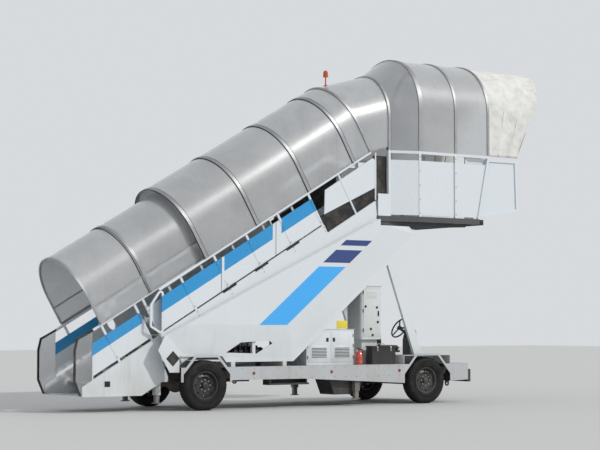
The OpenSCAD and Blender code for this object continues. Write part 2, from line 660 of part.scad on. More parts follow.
// The upright loop at the foot of a handrail, its corners before rounding
loop_line = [[ahead(-5600), 1430], [ahead(-5600), 1740], [ahead(-5460), 1935], [ahead(-5460), 1350]];
loop_x = ahead(-5400);
last_post_x = plat_x - 18;
module upper_guards() color("white") both_sides() {
    y = upper_in + stringer_t / 2;
    on_slope() {
        guard_run(y, upper_posts, stringer_top, upper_rail_u, [panel_low, panel_high]);
        // Post in the notch and the rail's upper end
        block([-400, -370], [y - 13, y + 13], [notch_top + seat, rail_mid]);
        translate([upper_posts[4], y, rail_mid]) rotate([0, 90, 0]) cylinder(d = handrail_d, h = bend_u + 10 - upper_posts[4], $fn = 32);
    }
    side_plate(y - 13, 26) difference() {
        offset(r = 60) polygon(loop_line);
        offset(r = 24) polygon(loop_line);
        polygon([
            sloped(upper_end_u - seat, stringer_top + seat), sloped(-4000, stringer_top + seat),
            sloped(-4000, 0), sloped(upper_end_u - seat, 0)
        ]);
    }
    // First panel, cut upright beside the loop
    side_plate(y - panel_t / 2, panel_t) polygon([
        line_at(loop_x - 10, panel_low), line_at(loop_x - 10, panel_high),
        sloped(upper_posts[0], panel_high), sloped(upper_posts[0], panel_low)
    ]);
    // Last panel, lifted over the cover, its corners cut beside the platform
    side_plate(y - panel_t / 2, panel_t) polygon([
        sloped(-1010, 560), sloped(-780, 925), line_at(plat_x - 85, 940), [plat_x, 4395], [plat_x, 3960],
        line_at(plat_x - 35, 450)
    ]);
    side_plate(y - 13, 26) polygon([
        [last_post_x - 12, line_at(last_post_x, notch_top)[1] + 10], [last_post_x - 12, guard_z - 60],
        [last_post_x + 12, guard_z - 60], [last_post_x + 12, line_at(last_post_x, notch_top)[1] + 10]
    ]);
}
// Black covers: inside the notch and up beside the platform, and along the panels' joints
module gap_covers() color("dimgray") both_sides() {
    side_plate(upper_in + 0.5, 8) polygon([
        sloped(notch_u + 10, notch_top + seat), sloped(notch_u + 10, 560), line_at(plat_x - 170, 600),
        [plat_x - 60, guard_z - 110], [throat_x - 30, guard_z - 110], [throat_x - 30, floor_z + 340],
        line_at(plat_x - 30, notch_top + seat)
    ]);
    on_slope() for (k = [1:3]) block(
        [upper_posts[k] - 150, upper_posts[k] + 150], [upper_out + seat, upper_out + 8], [385, panel_low]);
}

// The canopy: on the slope up to bend_u, then at half the slope to the throat
bend_x = slope_x(bend_u, canopy_base);
bend_z = slope_z(bend_u, canopy_base);
bend_len = (throat_x - bend_x) / cos(slope / 2);
throat_crown = bend_z + bend_len * sin(slope / 2) + upper_canopy_h;
module on_bend() {
    translate([bend_x, 0, bend_z]) rotate([0, -slope / 2, 0]) children();
}
module upper_canopy() color([0.7, 0.75, 0.78, 0.5]) {
    on_slope() translate([0, 0, canopy_base])
        cross_plate(upper_canopy_u, bend_u - 25 - seat - upper_canopy_u) arch_ring(upper_hw, upper_straight, sheet_t);
    intersection() {
        on_bend() cross_plate(-600, 1800) arch_ring(upper_hw, upper_canopy_h * cos(slope / 2) - upper_hw, sheet_t);
        on_slope() block([bend_u + 25 + seat, 4000], [-2000, 2000], [-2000, 4000]);
        block([-4000, throat_x - 25 - seat], [-2000, 2000], [2000, 8000]);
    }
}
upper_hoops = [upper_canopy_u, -2380, -1131, -10];
module upper_ribs() color("gray") {
    on_slope() translate([0, 0, canopy_base]) {
        for (u = upper_hoops) cross_plate(u, 60) hoop(upper_hw, upper_straight, 14);
        base_rails(upper_canopy_u, bend_u - 26, upper_in + 5, upper_hw - sheet_t - seat);
        cross_plate(bend_u - 25, 50) end_frame(upper_straight);
    }
    on_bend() base_rails(32, bend_len - 32, upper_in + 5, upper_hw - sheet_t - seat);
    translate([0, 0, guard_z + seat]) cross_plate(throat_x - 25, 50) end_frame(throat_crown - guard_z - seat - upper_hw);
}
// Frame between two lengths of the canopy
module end_frame(straight) difference() {
    arch(upper_hw + 14, straight);
    translate([0, -eps]) arch(upper_hw - 50, straight + eps);
}
// A thin slice of the flared throat, from foot up to crown
module throat_slice(x, hw, foot, crown) translate([0, 0, foot]) cross_plate(x, eps) arch(hw, crown - foot - hw, 48);
module hood_throat() color([0.8, 0.85, 0.88, 0.4]) difference() {
    hull() {
        throat_slice(throat_x + 25 + seat, upper_hw, guard_z + seat, throat_crown);
        throat_slice(ahead(hood_back) - seat - eps, hood_hw, guard_z + seat, floor_z + hood_h);
    }
    hull() {
        throat_slice(throat_x + 25 + seat - eps, upper_hw - sheet_t, guard_z - 20, throat_crown - sheet_t);
        throat_slice(ahead(hood_back) - seat, hood_hw - sheet_t, guard_z - 20, floor_z + hood_h - sheet_t);
    }
}

// Platform
// The floor is as wide as the flight up to the throat, and then widens to the hood
floor_line = [
    [plat_x, -throat_half], [plat_x, throat_half], [throat_x - 25, throat_half], [ahead(hood_back), plat_half],
    [ahead(plat_front), plat_half], [ahead(plat_front), -plat_half], [ahead(hood_back), -plat_half],
    [throat_x - 25, -throat_half]
];
module platform_deck() color("lightgray") {
    difference() {
        translate([0, 0, floor_z - 100]) linear_extrude(100) polygon(floor_line);
        translate([0, 0, floor_z - 101]) linear_extrude(89) offset(delta = -60) polygon(floor_line);
    }
    for (s = [-100, 400, 900]) block([ahead(s), ahead(s + 50)], [-plat_half + 60, plat_half - 60], [floor_z - 90, floor_z - 12]);
    both_sides() side_plate(upper_in, stringer_t) polygon([
        [plat_x, floor_z - 100], [plat_x, line_at(plat_x, upper_low)[1]], [ahead(200), floor_z - 190],
        [ahead(1100), floor_z - 150], [ahead(1100), floor_z - 100]
    ]);
}
// A strip in plan beside the throat, t thick and set in by inset_y
module throat_strip(inset_y, t) polygon([
    [throat_x + 25, throat_half - inset_y], [ahead(hood_back), plat_half - inset_y],
    [ahead(hood_back), plat_half - inset_y - t], [throat_x + 25, throat_half - inset_y - t]
]);
module platform_guards() color("white") both_sides() {
    for (s = [hood_back + 25, 730]) block([ahead(s) - 25, ahead(s) + 25], [plat_half - 50, plat_half], [floor_z, guard_z - 50]);
    // Post and low plate beside the flight
    block([throat_x - 25, throat_x + 25], [throat_half - 75, throat_half], [floor_z, guard_z]);
    block([plat_x + 16, throat_x - 25], [throat_half - 16, throat_half], [floor_z, floor_z + 400]);
    // Panels and top rails, slanted beside the throat and then straight
    translate([0, 0, guard_z - 50]) linear_extrude(50) throat_strip(0, 50);
    translate([0, 0, floor_z + 25]) linear_extrude(guard_h - 195) throat_strip(10, panel_t);
    side_plate(plat_half - 40, panel_t) polygon([
        [ahead(hood_back), floor_z + 25], [ahead(1260), floor_z + 25], [ahead(1500), guard_z - 170], [ahead(hood_back), guard_z - 170]
    ]);
    side_plate(plat_half - 50, 50) polygon([
        [ahead(1255), floor_z], [ahead(1300), floor_z], [ahead(1550), guard_z - 50], [ahead(1500), guard_z - 50]
    ]);
    block([ahead(hood_back), ahead(hood_front)], [plat_half - 50, plat_half], [guard_z - 50, guard_z]);
}
module hood_shell() color([0.7, 0.75, 0.78, 0.5]) translate([0, 0, guard_z])
    cross_plate(ahead(hood_back), hood_front - hood_back) arch_ring(hood_hw, hood_straight, sheet_t);
// Place and width of each hoop of the hood
hood_hoops = [[hood_back, 90], [705, 50], [hood_front - 50, 50]];
module hood_frame() color("gray") translate([0, 0, guard_z]) for (h = hood_hoops)
    cross_plate(ahead(h[0]), h[1]) hoop(hood_hw, hood_straight, 15);
// Fabric between the hood and the aircraft's skin, cut back to the skin's curve
module front_hood() color("beige") intersection() {
    translate([0, 0, guard_z]) cross_plate(ahead(hood_front), front_reach - hood_front) arch_ring(hood_hw - 8, hood_straight, 30);
    side_plate(-plat_half, plat_w) polygon([
        [ahead(hood_front), guard_z], [ahead(2270), guard_z], [ahead(front_reach), floor_z + hood_h - 135],
        [ahead(front_reach), floor_z + hood_h + 115], [ahead(hood_front), floor_z + hood_h + 115]
    ]);
}
module platform_buffer() color("black") {
    block([ahead(plat_front), ahead(plat_front + 90)], [-plat_half, plat_half], [floor_z - 110, floor_z - 10]);
}
module beacon() color("orange") {
    x = ahead(-1530);
    z = throat_crown - (throat_x - x) * tan(slope / 2);
    // Foot on the canopy's crown
    translate([x, 0, z]) rotate([0, -slope / 2, 0]) translate([0, 0, seat]) cylinder(r = 36, h = 14);
    translate([x, 0, z + seat]) {
        translate([0, 0, 8]) cylinder(r = 12, h = 152);
        translate([0, 0, 160]) cylinder(r = 50, h = 20);
        translate([0, 0, 180]) cylinder(r = 44, h = 60);
        translate([0, 0, 240]) intersection() {
            sphere(44);
            translate([-50, -50, 0]) cube([100, 100, 50]);
        }
    }
}

// Side guards that slide out to the aircraft
guard_y = plat_half - 50 - clear - 30;
module side_guard() color("whitesmoke") {
    difference() {
        side_plate(guard_y, 30) polygon([
            [ahead(1000), floor_z + 40], [ahead(1500), floor_z + 40], [ahead(2300), floor_z + 190],
            [ahead(2270), guard_z - 60], [ahead(1000), guard_z - 60]
        ]);
        side_plate(guard_y + 6, 30) polygon([
            [ahead(1040), floor_z + 80], [ahead(1500), floor_z + 80], [ahead(2260), floor_z + 225],
            [ahead(2232), guard_z - 100], [ahead(1040), guard_z - 100]
        ]);
    }
    // Runners on the platform's top rail and floor
    block([ahead(1000), ahead(1400)], [guard_y, guard_y + 30 + clear - seat], [guard_z - 61, guard_z - 30]);
    block([ahead(1000), ahead(1200)], [guard_y, guard_y + 30], [floor_z + seat, floor_z + 41]);
}
module side_guard_left() side_guard();
module side_guard_right() mirror([0, 1, 0]) side_guard();

// Steering knuckle: a barrel on the kingpin with the stub axle through the hub
module knuckle() color("dimgray") {
    translate([axle_x, kingpin_y, wheel_z - 86 + seat]) cylinder(r = 40, h = 172 - 2 * seat);
    translate([axle_x, kingpin_y, wheel_z - 112]) cylinder(r = kingpin_r, h = 224);
    translate([axle_x, kingpin_y, wheel_z]) rotate([-90, 0, 0]) cylinder(r = hub_bore_d / 2 - seat, h = wheel_y - kingpin_y + 60);
    translate([axle_x, kingpin_y + lug_r + clear, wheel_z]) rotate([-90, 0, 0]) cylinder(r = 120, h = wheel_y - 60 - kingpin_y - lug_r - clear - seat);
    // Steering arm
    block([axle_x - 190, axle_x], [kingpin_y - 15, kingpin_y + 15], [wheel_z - 60, wheel_z - 36]);
}
module knuckle_left() knuckle();
module knuckle_right() mirror([0, 1, 0]) knuckle();

// Wheels, made about the origin with their axle along Y and their outer side to +Y
module tyre() color([0.1, 0.1, 0.1]) rotate([-90, 0, 0]) rotate_extrude($fn = 96) {
    r = tyre_d / 2;
    w = tyre_w / 2;
    difference() {
        polygon([
            [rim_d / 2 + seat, -w + 30], [r - 60, -w], [r - 18, -w + 12], [r, -w + 34],
            [r, w - 34], [r - 18, w - 12], [r - 60, w], [rim_d / 2 + seat, w - 30]
        ]);
        for (k = [-1:1]) translate([r - 12, k * 42 - 5]) square([20, 10]);
    }
}
module rim() color("dimgray") rotate([-90, 0, 0]) difference() {
    rotate_extrude($fn = 96) {
        r = rim_d / 2;
        w = tyre_w / 2 - 30;
        polygon([
            [r - 16, -w], [r, -w], [r, w], [r - 16, w], [r - 34, w - 60], [150, w - 40], [110, w - 78],
            [hub_bore_d / 2, w - 78], [hub_bore_d / 2, -58], [115, -58], [115, w - 100], [r - 52, w - 82]
        ]);
    }
    for (a = [0:45:315]) rotate(a) translate([172, 0, 0]) cylinder(r = 16, h = 200);
}
module at_front() translate([axle_x, wheel_y, wheel_z]) children();
module at_rear() translate([rear_axle_x, wheel_y, wheel_z]) children();
module right() mirror([0, 1, 0]) children();

// Jacks: a leg in a sleeve of the chassis, with its foot
jack_bore = 36;
jack_front_s = -1560;
jack_front_y = half_w - 90;
jack_rear_s = rails_back - 135;
jack_rear_y = 540;
foot_z = 120;
jack_front_top = 600;
jack_rear_top = 500;
module jack(s, y, top) color("silver") {
    block([ahead(s) - jack_bore + seat, ahead(s) + jack_bore - seat], [y - jack_bore + seat, y + jack_bore - seat], [foot_z + 14, top]);
    translate([ahead(s), y, foot_z]) cylinder(r = 80, h = 14);
}

chassis_frame();
deck();
skirt_right();
skirt_left();
front_axle();
rear_axle();
leaf_springs();
engine_block();
engine_housing();
control_cabinet();
driver_seat();
driver_desk();
steering_wheel();
extinguisher();
tank_and_battery();
running_steps();
front_bumper();
main_frame_right();
main_frame_left();
main_frame_ties();
struts();
lift_barrel();
lower_stringers();
lower_treads();
lower_guards();
entry_panes();
entry_edges();
lower_canopy();
lower_ribs();
upper_stringers();
upper_treads();
upper_guards();
upper_canopy();
upper_ribs();
lift_rod();
platform_deck();
platform_guards();
hood_shell();
hood_frame();
hood_throat();
front_hood();
gap_covers();
platform_buffer();
beacon();
side_guard_right();
side_guard_left();
knuckle_right();
knuckle_left();
right() at_front() tyre();  // tyre_front_right
at_front() tyre();  // tyre_front_left
right() at_rear() tyre();  // tyre_rear_right
at_rear() tyre();  // tyre_rear_left
right() at_front() rim();  // rim_front_right
at_front() rim();  // rim_front_left
right() at_rear() rim();  // rim_rear_right
at_rear() rim();  // rim_rear_left
right() jack(jack_front_s, jack_front_y, jack_front_top);  // jack_front_right
jack(jack_front_s, jack_front_y, jack_front_top);  // jack_front_left
right() jack(jack_rear_s, jack_rear_y, jack_rear_top);  // jack_rear_right
jack(jack_rear_s, jack_rear_y, jack_rear_top);  // jack_rear_left
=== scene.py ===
"""Looks of a mobile aircraft stairs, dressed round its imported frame.

Every length is in metres, in the frame's own axes: +X to the aircraft, +Y to the
machine's left, +Z up, with the origin on the ground below the machine's middle.
"""
from __future__ import annotations

import logging
import math
import random
from dataclasses import dataclass, field
from enum import Enum, StrEnum

import bmesh
import bpy
from mathutils import Matrix, Vector

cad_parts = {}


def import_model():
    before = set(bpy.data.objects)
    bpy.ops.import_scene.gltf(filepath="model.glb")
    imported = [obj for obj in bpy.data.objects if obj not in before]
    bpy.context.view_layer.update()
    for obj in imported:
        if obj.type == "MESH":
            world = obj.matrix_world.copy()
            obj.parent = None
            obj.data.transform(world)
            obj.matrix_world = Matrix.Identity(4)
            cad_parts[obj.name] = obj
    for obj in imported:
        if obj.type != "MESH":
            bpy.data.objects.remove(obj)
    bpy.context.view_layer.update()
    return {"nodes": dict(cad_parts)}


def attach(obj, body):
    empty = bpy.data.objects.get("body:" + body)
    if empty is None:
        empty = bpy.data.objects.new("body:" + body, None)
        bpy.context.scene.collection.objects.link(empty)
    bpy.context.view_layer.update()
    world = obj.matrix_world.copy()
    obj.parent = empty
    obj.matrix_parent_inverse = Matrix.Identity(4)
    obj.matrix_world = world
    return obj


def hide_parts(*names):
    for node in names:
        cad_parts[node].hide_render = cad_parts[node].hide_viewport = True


LOG = logging.getLogger("stairs")

Colour = tuple[float, float, float]
Point = tuple[float, float, float]
Span = tuple[float, float]

AXLE_X = 2.050
REAR_AXLE_X = -2.650
WHEEL_Y = 0.915
WHEEL_Z = 0.420
DECK_Z = 0.720
SMOOTH_ANGLE = 35.0
FINE_EDGE = 0.002
SOFT_EDGE = 0.003


class Body(StrEnum):
    """The bodies that pieces ride on, by their names in the frame."""

    CHASSIS = "chassis"
    UPPER = "upper_flight"
    GUARD_RIGHT = "side_guard_right"
    GUARD_LEFT = "side_guard_left"


class Side(Enum):
    """The machine's two sides, valued by the sign of Y."""

    RIGHT = -1
    LEFT = 1

    @property
    def label(self) -> str:
        """The side's name as pieces carry it."""
        return self.name.lower()


class Axis(Enum):
    """The axes that a round piece may turn about."""

    X = "X"
    Y = "Y"
    Z = "Z"


@dataclass(frozen=True)
class Slope:
    """The line of the upper flight's nosings, in the plane of X and Z."""

    foot_x: float = 1.070
    foot_z: float = 3.400
    angle: float = math.radians(30.0)

    def at(self, along: float, above: float) -> tuple[float, float]:
        """Gives the X and Z of a place on the slope.

        Args:
            along: Distance up the slope from the platform's rear edge.
            above: Height square to the slope over the nosing line.

        Returns:
            The place's X and Z.
        """
        sine = math.sin(self.angle)
        cosine = math.cos(self.angle)
        x = self.foot_x + along * cosine - above * sine
        z = self.foot_z + along * sine + above * cosine
        return x, z

    def point(self, along: float, side: float, above: float) -> Vector:
        """Gives a place on the slope as a vector, side being its Y."""
        x, z = self.at(along, above)
        return Vector((x, side, z))

    def upright(self, x: float, above: float) -> tuple[float, float]:
        """Gives X and Z of the place at a given X whose height square to the slope is above."""
        return x, self.foot_z + (x - self.foot_x) * math.tan(self.angle) + above / math.cos(self.angle)


SLOPE = Slope()


class Graph:
    """A material's node graph, with short ways to add and join nodes."""

    def __init__(self, material: bpy.types.Material) -> None:
        """Empties the material's tree and gives it a Principled shader."""
        self.tree = material.node_tree
        self.tree.nodes.clear()
        out = self.node("ShaderNodeOutputMaterial")
        self.shader = self.node("ShaderNodeBsdfPrincipled")
        self.tree.links.new(self.shader.outputs["BSDF"], out.inputs["Surface"])
        self.coordinates = self.node("ShaderNodeTexCoord")
        self.place = self.coordinates.outputs["Object"]

    def node(self, kind: str, **settings: object) -> bpy.types.Node:
        """Adds a node and sets its properties."""
        made = self.tree.nodes.new(kind)
        for name, value in settings.items():
            setattr(made, name, value)
        return made

    def feed(self, socket: bpy.types.NodeSocket, value: object) -> None:
        """Joins a socket to another one, or sets it to a number or a colour."""
        if isinstance(value, bpy.types.NodeSocket):
            self.tree.links.new(value, socket)
        else:
            socket.default_value = (*value, 1.0) if isinstance(value, tuple) else value

    def math(self, operation: str, first: object, second: object = 0.0,
             clamp: bool = False) -> bpy.types.NodeSocket:
        """Adds a Math node.

        Args:
            operation: Name of the operation, such as MAXIMUM.
            first: Socket or number.
            second: Socket or number.
            clamp: Whether the result is kept from 0 to 1.

        Returns:
            The result's socket.
        """
        made = self.node("ShaderNodeMath", operation=operation, use_clamp=clamp)
        self.feed(made.inputs[0], first)
        self.feed(made.inputs[1], second)
        return made.outputs[0]

    def plus(self, first: object, second: object, clamp: bool = False) -> bpy.types.NodeSocket:
        """Adds two sockets or numbers."""
        return self.math("ADD", first, second, clamp)

    def minus(self, first: object, second: object, clamp: bool = False) -> bpy.types.NodeSocket:
        """Takes the second socket or number from the first."""
        return self.math("SUBTRACT", first, second, clamp)

    def times(self, first: object, second: object, clamp: bool = False) -> bpy.types.NodeSocket:
        """Multiplies two sockets or numbers."""
        return self.math("MULTIPLY", first, second, clamp)

    def axes(self) -> tuple[bpy.types.NodeSocket, bpy.types.NodeSocket, bpy.types.NodeSocket]:
        """Gives the X, Y and Z of the shaded place."""
        split = self.node("ShaderNodeSeparateXYZ")
        self.feed(split.inputs[0], self.place)
        return split.outputs[0], split.outputs[1], split.outputs[2]

    def above_line(self, angle: float, foot: tuple[float, float]) -> bpy.types.NodeSocket:
        """Gives the height square to a slanted line through foot, an X and Z."""
        x, _, z = self.axes()
        run = self.minus(x, foot[0])
        climb = self.minus(z, foot[1])
        return self.minus(self.times(climb, math.cos(angle)), self.times(run, math.sin(angle)))

    def mapped(self, stretch: Point) -> bpy.types.NodeSocket:
        """Gives Object coordinates scaled by stretch."""
        made = self.node("ShaderNodeMapping")
        self.feed(made.inputs["Vector"], self.place)
        made.inputs["Scale"].default_value = stretch
        return made.outputs[0]

    def noise(self, scale: float, detail: float = 4.0, stretch: Point | None = None,
              roughness: float = 0.55) -> bpy.types.NodeSocket:
        """Adds noise on Object coordinates.

        Args:
            scale: Scale of the noise.
            detail: Number of finer layers.
            stretch: Scale of each axis before the noise, if any.
            roughness: Strength of the finer layers.

        Returns:
            The noise's value, about 0.5 on average.
        """
        made = self.node("ShaderNodeTexNoise")
        for name, value in (("Vector", self.mapped(stretch) if stretch else self.place), ("Scale", scale),
                            ("Detail", detail), ("Roughness", roughness)):
            self.feed(made.inputs[name], value)
        return made.outputs["Fac"]

    def span(self, value: object, low: float, high: float, to_low: float = 0.0,
             to_high: float = 1.0) -> bpy.types.NodeSocket:
        """Maps a value from low and high to to_low and to_high, clamped."""
        made = self.node("ShaderNodeMapRange", clamp=True)
        for name, given in (("Value", value), ("From Min", low), ("From Max", high),
                            ("To Min", to_low), ("To Max", to_high)):
            self.feed(made.inputs[name], given)
        return made.outputs[0]

    def patches(self, scale: float, detail: float, low: float, high: float,
                stretch: Point | None = None, roughness: float = 0.55) -> bpy.types.NodeSocket:
        """Gives noise mapped from low and high to 0 and 1."""
        return self.span(self.noise(scale, detail, stretch, roughness), low, high)

    def between(self, value: object, low: float, high: float, soft: float = 0.0015) -> bpy.types.NodeSocket:
        """Gives 1 where a value lies from low to high, with edges soft wide."""
        rise = self.span(value, low - soft, low + soft)
        fall = self.span(value, high - soft, high + soft, 1.0, 0.0)
        return self.times(rise, fall)

    def blend(self, factor: object, first: object, second: object) -> bpy.types.NodeSocket:
        """Mixes two colours by a factor."""
        made = self.node("ShaderNodeMix", data_type="RGBA")
        for number, value in ((0, factor), (6, first), (7, second)):
            self.feed(made.inputs[number], value)
        return made.outputs[2]

    def bump(self, height: object, strength: float, distance: float = 0.001,
             normal: object | None = None) -> bpy.types.NodeSocket:
        """Adds a bump whose height is in units of distance."""
        made = self.node("ShaderNodeBump")
        made.inputs["Strength"].default_value = strength
        made.inputs["Distance"].default_value = distance
        self.feed(made.inputs["Height"], height)
        if normal is not None:
            self.feed(made.inputs["Normal"], normal)
        return made.outputs[0]

    def set(self, **values: object) -> None:
        """Sets or joins the shader's sockets, with _ for a blank in a name."""
        for name, value in values.items():
            self.feed(self.shader.inputs[name.replace("_", " ")], value)


@dataclass(frozen=True)
class Finish:
    """A finish that a piece's surface takes."""

    name: str
    colour: Colour
    roughness: float = 0.4

    def material(self) -> bpy.types.Material:
        """Gives the finish's material, which is made once."""
        made = bpy.data.materials.get("finish_" + self.name)
        if made is None:
            made = bpy.data.materials.new("finish_" + self.name)
            made.use_nodes = True
            self.dress(Graph(made))
        return made

    def tinted(self, factor: float, lift: float = 0.0) -> Colour:
        """Gives the finish's colour scaled by factor and raised by lift."""
        return tuple(min(1.0, channel * factor + lift) for channel in self.colour)

    def dress(self, graph: Graph) -> None:
        """Sets up the shader."""
        graph.set(Base_Color=self.colour, Roughness=self.roughness)


@dataclass(frozen=True)
class Band:
    """A coloured band along a slanted line, cut off square to an upright or a level axis."""

    colour: Colour
    above: Span
    cut: Axis
    ends: Span


@dataclass(frozen=True)
class Paint(Finish):
    """Sprayed paint on sheet steel, with road dirt that thickens downwards."""

    dirt: float = 0.5
    dust: Colour = (0.36, 0.33, 0.29)
    dirt_top: float = 1.6
    bands: tuple[Band, ...] = ()
    band_angle: float = SLOPE.angle
    band_foot: tuple[float, float] = (SLOPE.foot_x, SLOPE.foot_z)
    coat: float = 0.0

    def dress(self, graph: Graph) -> None:
        """Sets up the shader."""
        _, _, z = graph.axes()
        colour: object = self.colour
        if self.bands:
            above = graph.above_line(self.band_angle, self.band_foot)
            x, _, _ = graph.axes()
            for band in self.bands:
                cut = x if band.cut is Axis.X else z
                inside = graph.times(graph.between(cut, *band.ends), graph.between(above, *band.above))
                colour = graph.blend(inside, colour, band.colour)
        patches = graph.patches(1.3, 5.0, 0.38, 0.68)
        streaks = graph.patches(1.0, 6.0, 0.50, 0.74, (11.0, 11.0, 0.9))
        low = graph.span(z, 0.25, self.dirt_top, 1.0, 0.12)
        specks = graph.patches(38.0, 3.0, 0.58, 0.72)
        film = graph.times(graph.plus(patches, graph.times(streaks, 0.7)), low)
        soil = graph.times(graph.plus(film, graph.times(specks, 0.18)), self.dirt, clamp=True)
        graph.set(Base_Color=graph.blend(graph.times(soil, 0.75), colour, self.dust))
        rough = graph.plus(graph.times(soil, 0.35), self.roughness)
        rough = graph.plus(rough, graph.span(graph.noise(6.0, 3.0), 0.3, 0.7, -0.03, 0.05))
        waves = graph.bump(graph.noise(1.7, 2.0), 0.35, 0.004)
        peel = graph.bump(graph.noise(260.0, 2.0), 0.12, 0.0006, waves)
        graph.set(Roughness=rough, Normal=peel)
        if self.coat:
            graph.set(Coat_Weight=self.coat, Coat_Roughness=0.08)


@dataclass(frozen=True)
class Metal(Finish):
    """Bare metal with a brushed or rolled grain along one axis."""

    grain: Point = (4.0, 160.0, 160.0)
    tarnish: float = 0.4

    def dress(self, graph: Graph) -> None:
        """Sets up the shader."""
        lines = graph.noise(1.0, 4.0, self.grain)
        blots = graph.patches(5.0, 5.0, 0.40, 0.70)
        colour = graph.blend(graph.times(blots, self.tarnish), self.colour, self.tinted(0.55))
        rough = graph.plus(self.roughness, graph.times(blots, 0.18 * self.tarnish))
        rough = graph.plus(rough, graph.span(lines, 0.3, 0.7, -0.05, 0.07))
        graph.set(Base_Color=colour, Metallic=1.0, Roughness=rough, Normal=graph.bump(lines, 0.15, 0.0005))


@dataclass(frozen=True)
class SmokedSheet(Finish):
    """Smoke-grey polycarbonate that lets part of the light through."""

    clear: float = 0.5
    haze: Colour = (0.60, 0.60, 0.585)
    gloss: float = 0.32

    def dress(self, graph: Graph) -> None:
        """Sets up the shader."""
        washed = graph.patches(0.7, 5.0, 0.36, 0.70, (2.0, 1.2, 3.0))
        runs = graph.patches(1.0, 4.0, 0.48, 0.72, (16.0, 5.0, 0.8))
        film = graph.times(graph.plus(washed, graph.times(runs, 0.3)), 0.25, clamp=True)
        colour = graph.blend(film, self.colour, self.haze)
        clear = graph.minus(self.clear, graph.times(film, 0.4), clamp=True)
        rough = graph.plus(self.roughness, graph.times(film, 0.10))
        bend = graph.bump(graph.noise(1.0, 2.0, (0.9, 0.9, 0.9)), 0.25, 0.006)
        graph.set(Base_Color=colour, Roughness=rough, Normal=bend, Transmission_Weight=clear, IOR=1.42)
        graph.set(Specular_IOR_Level=0.25, Coat_Weight=0.9, Coat_Roughness=self.gloss, Coat_IOR=1.75,
                  Coat_Normal=bend)


@dataclass(frozen=True)
class Rubber(Finish):
    """Black rubber or tyre, dusty where it is worn."""

    dust: Colour = (0.20, 0.18, 0.16)
    amount: float = 0.35
    bump: float = 0.3

    def dress(self, graph: Graph) -> None:
        """Sets up the shader."""
        cloud = graph.patches(7.0, 6.0, 0.42, 0.72)
        grain = graph.noise(420.0, 3.0)
        colour = graph.blend(graph.times(cloud, self.amount), self.colour, self.dust)
        rough = graph.plus(self.roughness, graph.times(cloud, 0.12))
        graph.set(Base_Color=colour, Roughness=rough, Normal=graph.bump(grain, self.bump, 0.0006))
        graph.set(Specular_IOR_Level=0.28)


@dataclass(frozen=True)
class Moulding(Finish):
    """Moulded plastic or vinyl with a fine pebbled skin."""

    pebbles: float = 300.0
    depth: float = 0.35

    def dress(self, graph: Graph) -> None:
        """Sets up the shader."""
        cells = graph.node("ShaderNodeTexVoronoi")
        graph.feed(cells.inputs["Vector"], graph.place)
        cells.inputs["Scale"].default_value = self.pebbles
        wear = graph.patches(9.0, 4.0, 0.45, 0.75)
        graph.set(Base_Color=graph.blend(graph.times(wear, 0.4), self.colour, self.tinted(1.5, 0.02)))
        graph.set(Roughness=graph.plus(self.roughness, graph.times(wear, 0.1)))
        graph.set(Normal=graph.bump(cells.outputs["Distance"], self.depth, 0.0008))


@dataclass(frozen=True)
class ChequerPlate(Finish):
    """Rolled metal plate with small raised bars in alternate directions, and painted upright sides."""

    pitch: float = 0.030
    side: Colour = (0.70, 0.71, 0.70)

    def dress(self, graph: Graph) -> None:
        """Sets up the shader."""
        x, y, _ = graph.axes()
        height: object = 0.0
        for sign in (-1.0, 1.0):
            lengthwise = graph.plus(x, graph.times(y, sign))
            crosswise = graph.minus(x, graph.times(y, sign))
            row = graph.math("PINGPONG", graph.plus(lengthwise, self.pitch * 0.5 * (sign + 1.0)), self.pitch)
            column = graph.math("PINGPONG", crosswise, self.pitch * 0.5)
            bar = graph.times(graph.span(row, 0.0, self.pitch * 0.42, 1.0, 0.0),
                             graph.span(column, 0.0, self.pitch * 0.13, 1.0, 0.0))
            height = graph.math("MAXIMUM", height, bar)
        worn = graph.patches(2.4, 6.0, 0.38, 0.70)
        dark = self.tinted(0.45)
        base = graph.blend(graph.times(worn, 0.7), self.colour, dark)
        colour = graph.blend(graph.times(height, 0.85), base, self.tinted(1.25))
        facing = graph.node("ShaderNodeSeparateXYZ")
        graph.feed(facing.inputs[0], graph.node("ShaderNodeNewGeometry").outputs["Normal"])
        flat = graph.span(facing.outputs[2], 0.4, 0.6)
        soiled = graph.blend(graph.times(worn, 0.35), self.side, dark)
        graph.set(Base_Color=graph.blend(flat, soiled, colour), Metallic=graph.times(flat, 0.35))
        graph.set(Roughness=graph.plus(self.roughness, graph.times(worn, 0.2)))
        graph.set(Normal=graph.bump(graph.times(height, flat), 0.8, 0.003))


@dataclass(frozen=True)
class HoodCloth(Finish):
    """Coated fabric, creamy white and mottled, with a fine weave on the piece's own UV map."""

    stain: Colour = (0.46, 0.45, 0.41)

    def dress(self, graph: Graph) -> None:
        """Sets up the shader."""
        weave = graph.node("ShaderNodeTexWave", wave_type="BANDS", bands_direction="X")
        cross = graph.node("ShaderNodeTexWave", wave_type="BANDS", bands_direction="Y")
        for made in (weave, cross):
            graph.feed(made.inputs["Vector"], graph.coordinates.outputs["UV"])
            made.inputs["Scale"].default_value = 160.0
        threads = graph.math("MAXIMUM", weave.outputs["Fac"], cross.outputs["Fac"])
        mottle = graph.patches(5.5, 7.0, 0.44, 0.66, roughness=0.7)
        blotch = graph.patches(1.6, 4.0, 0.44, 0.66)
        soil = graph.plus(graph.times(mottle, 0.5), graph.times(blotch, 0.35), clamp=True)
        graph.set(Base_Color=graph.blend(soil, self.colour, self.stain), Roughness=self.roughness)
        crumple = graph.bump(graph.noise(9.0, 6.0, roughness=0.62), 0.6, 0.012)
        graph.set(Normal=graph.bump(threads, 0.25, 0.0008, crumple), Sheen_Weight=0.15, Sheen_Roughness=0.5)


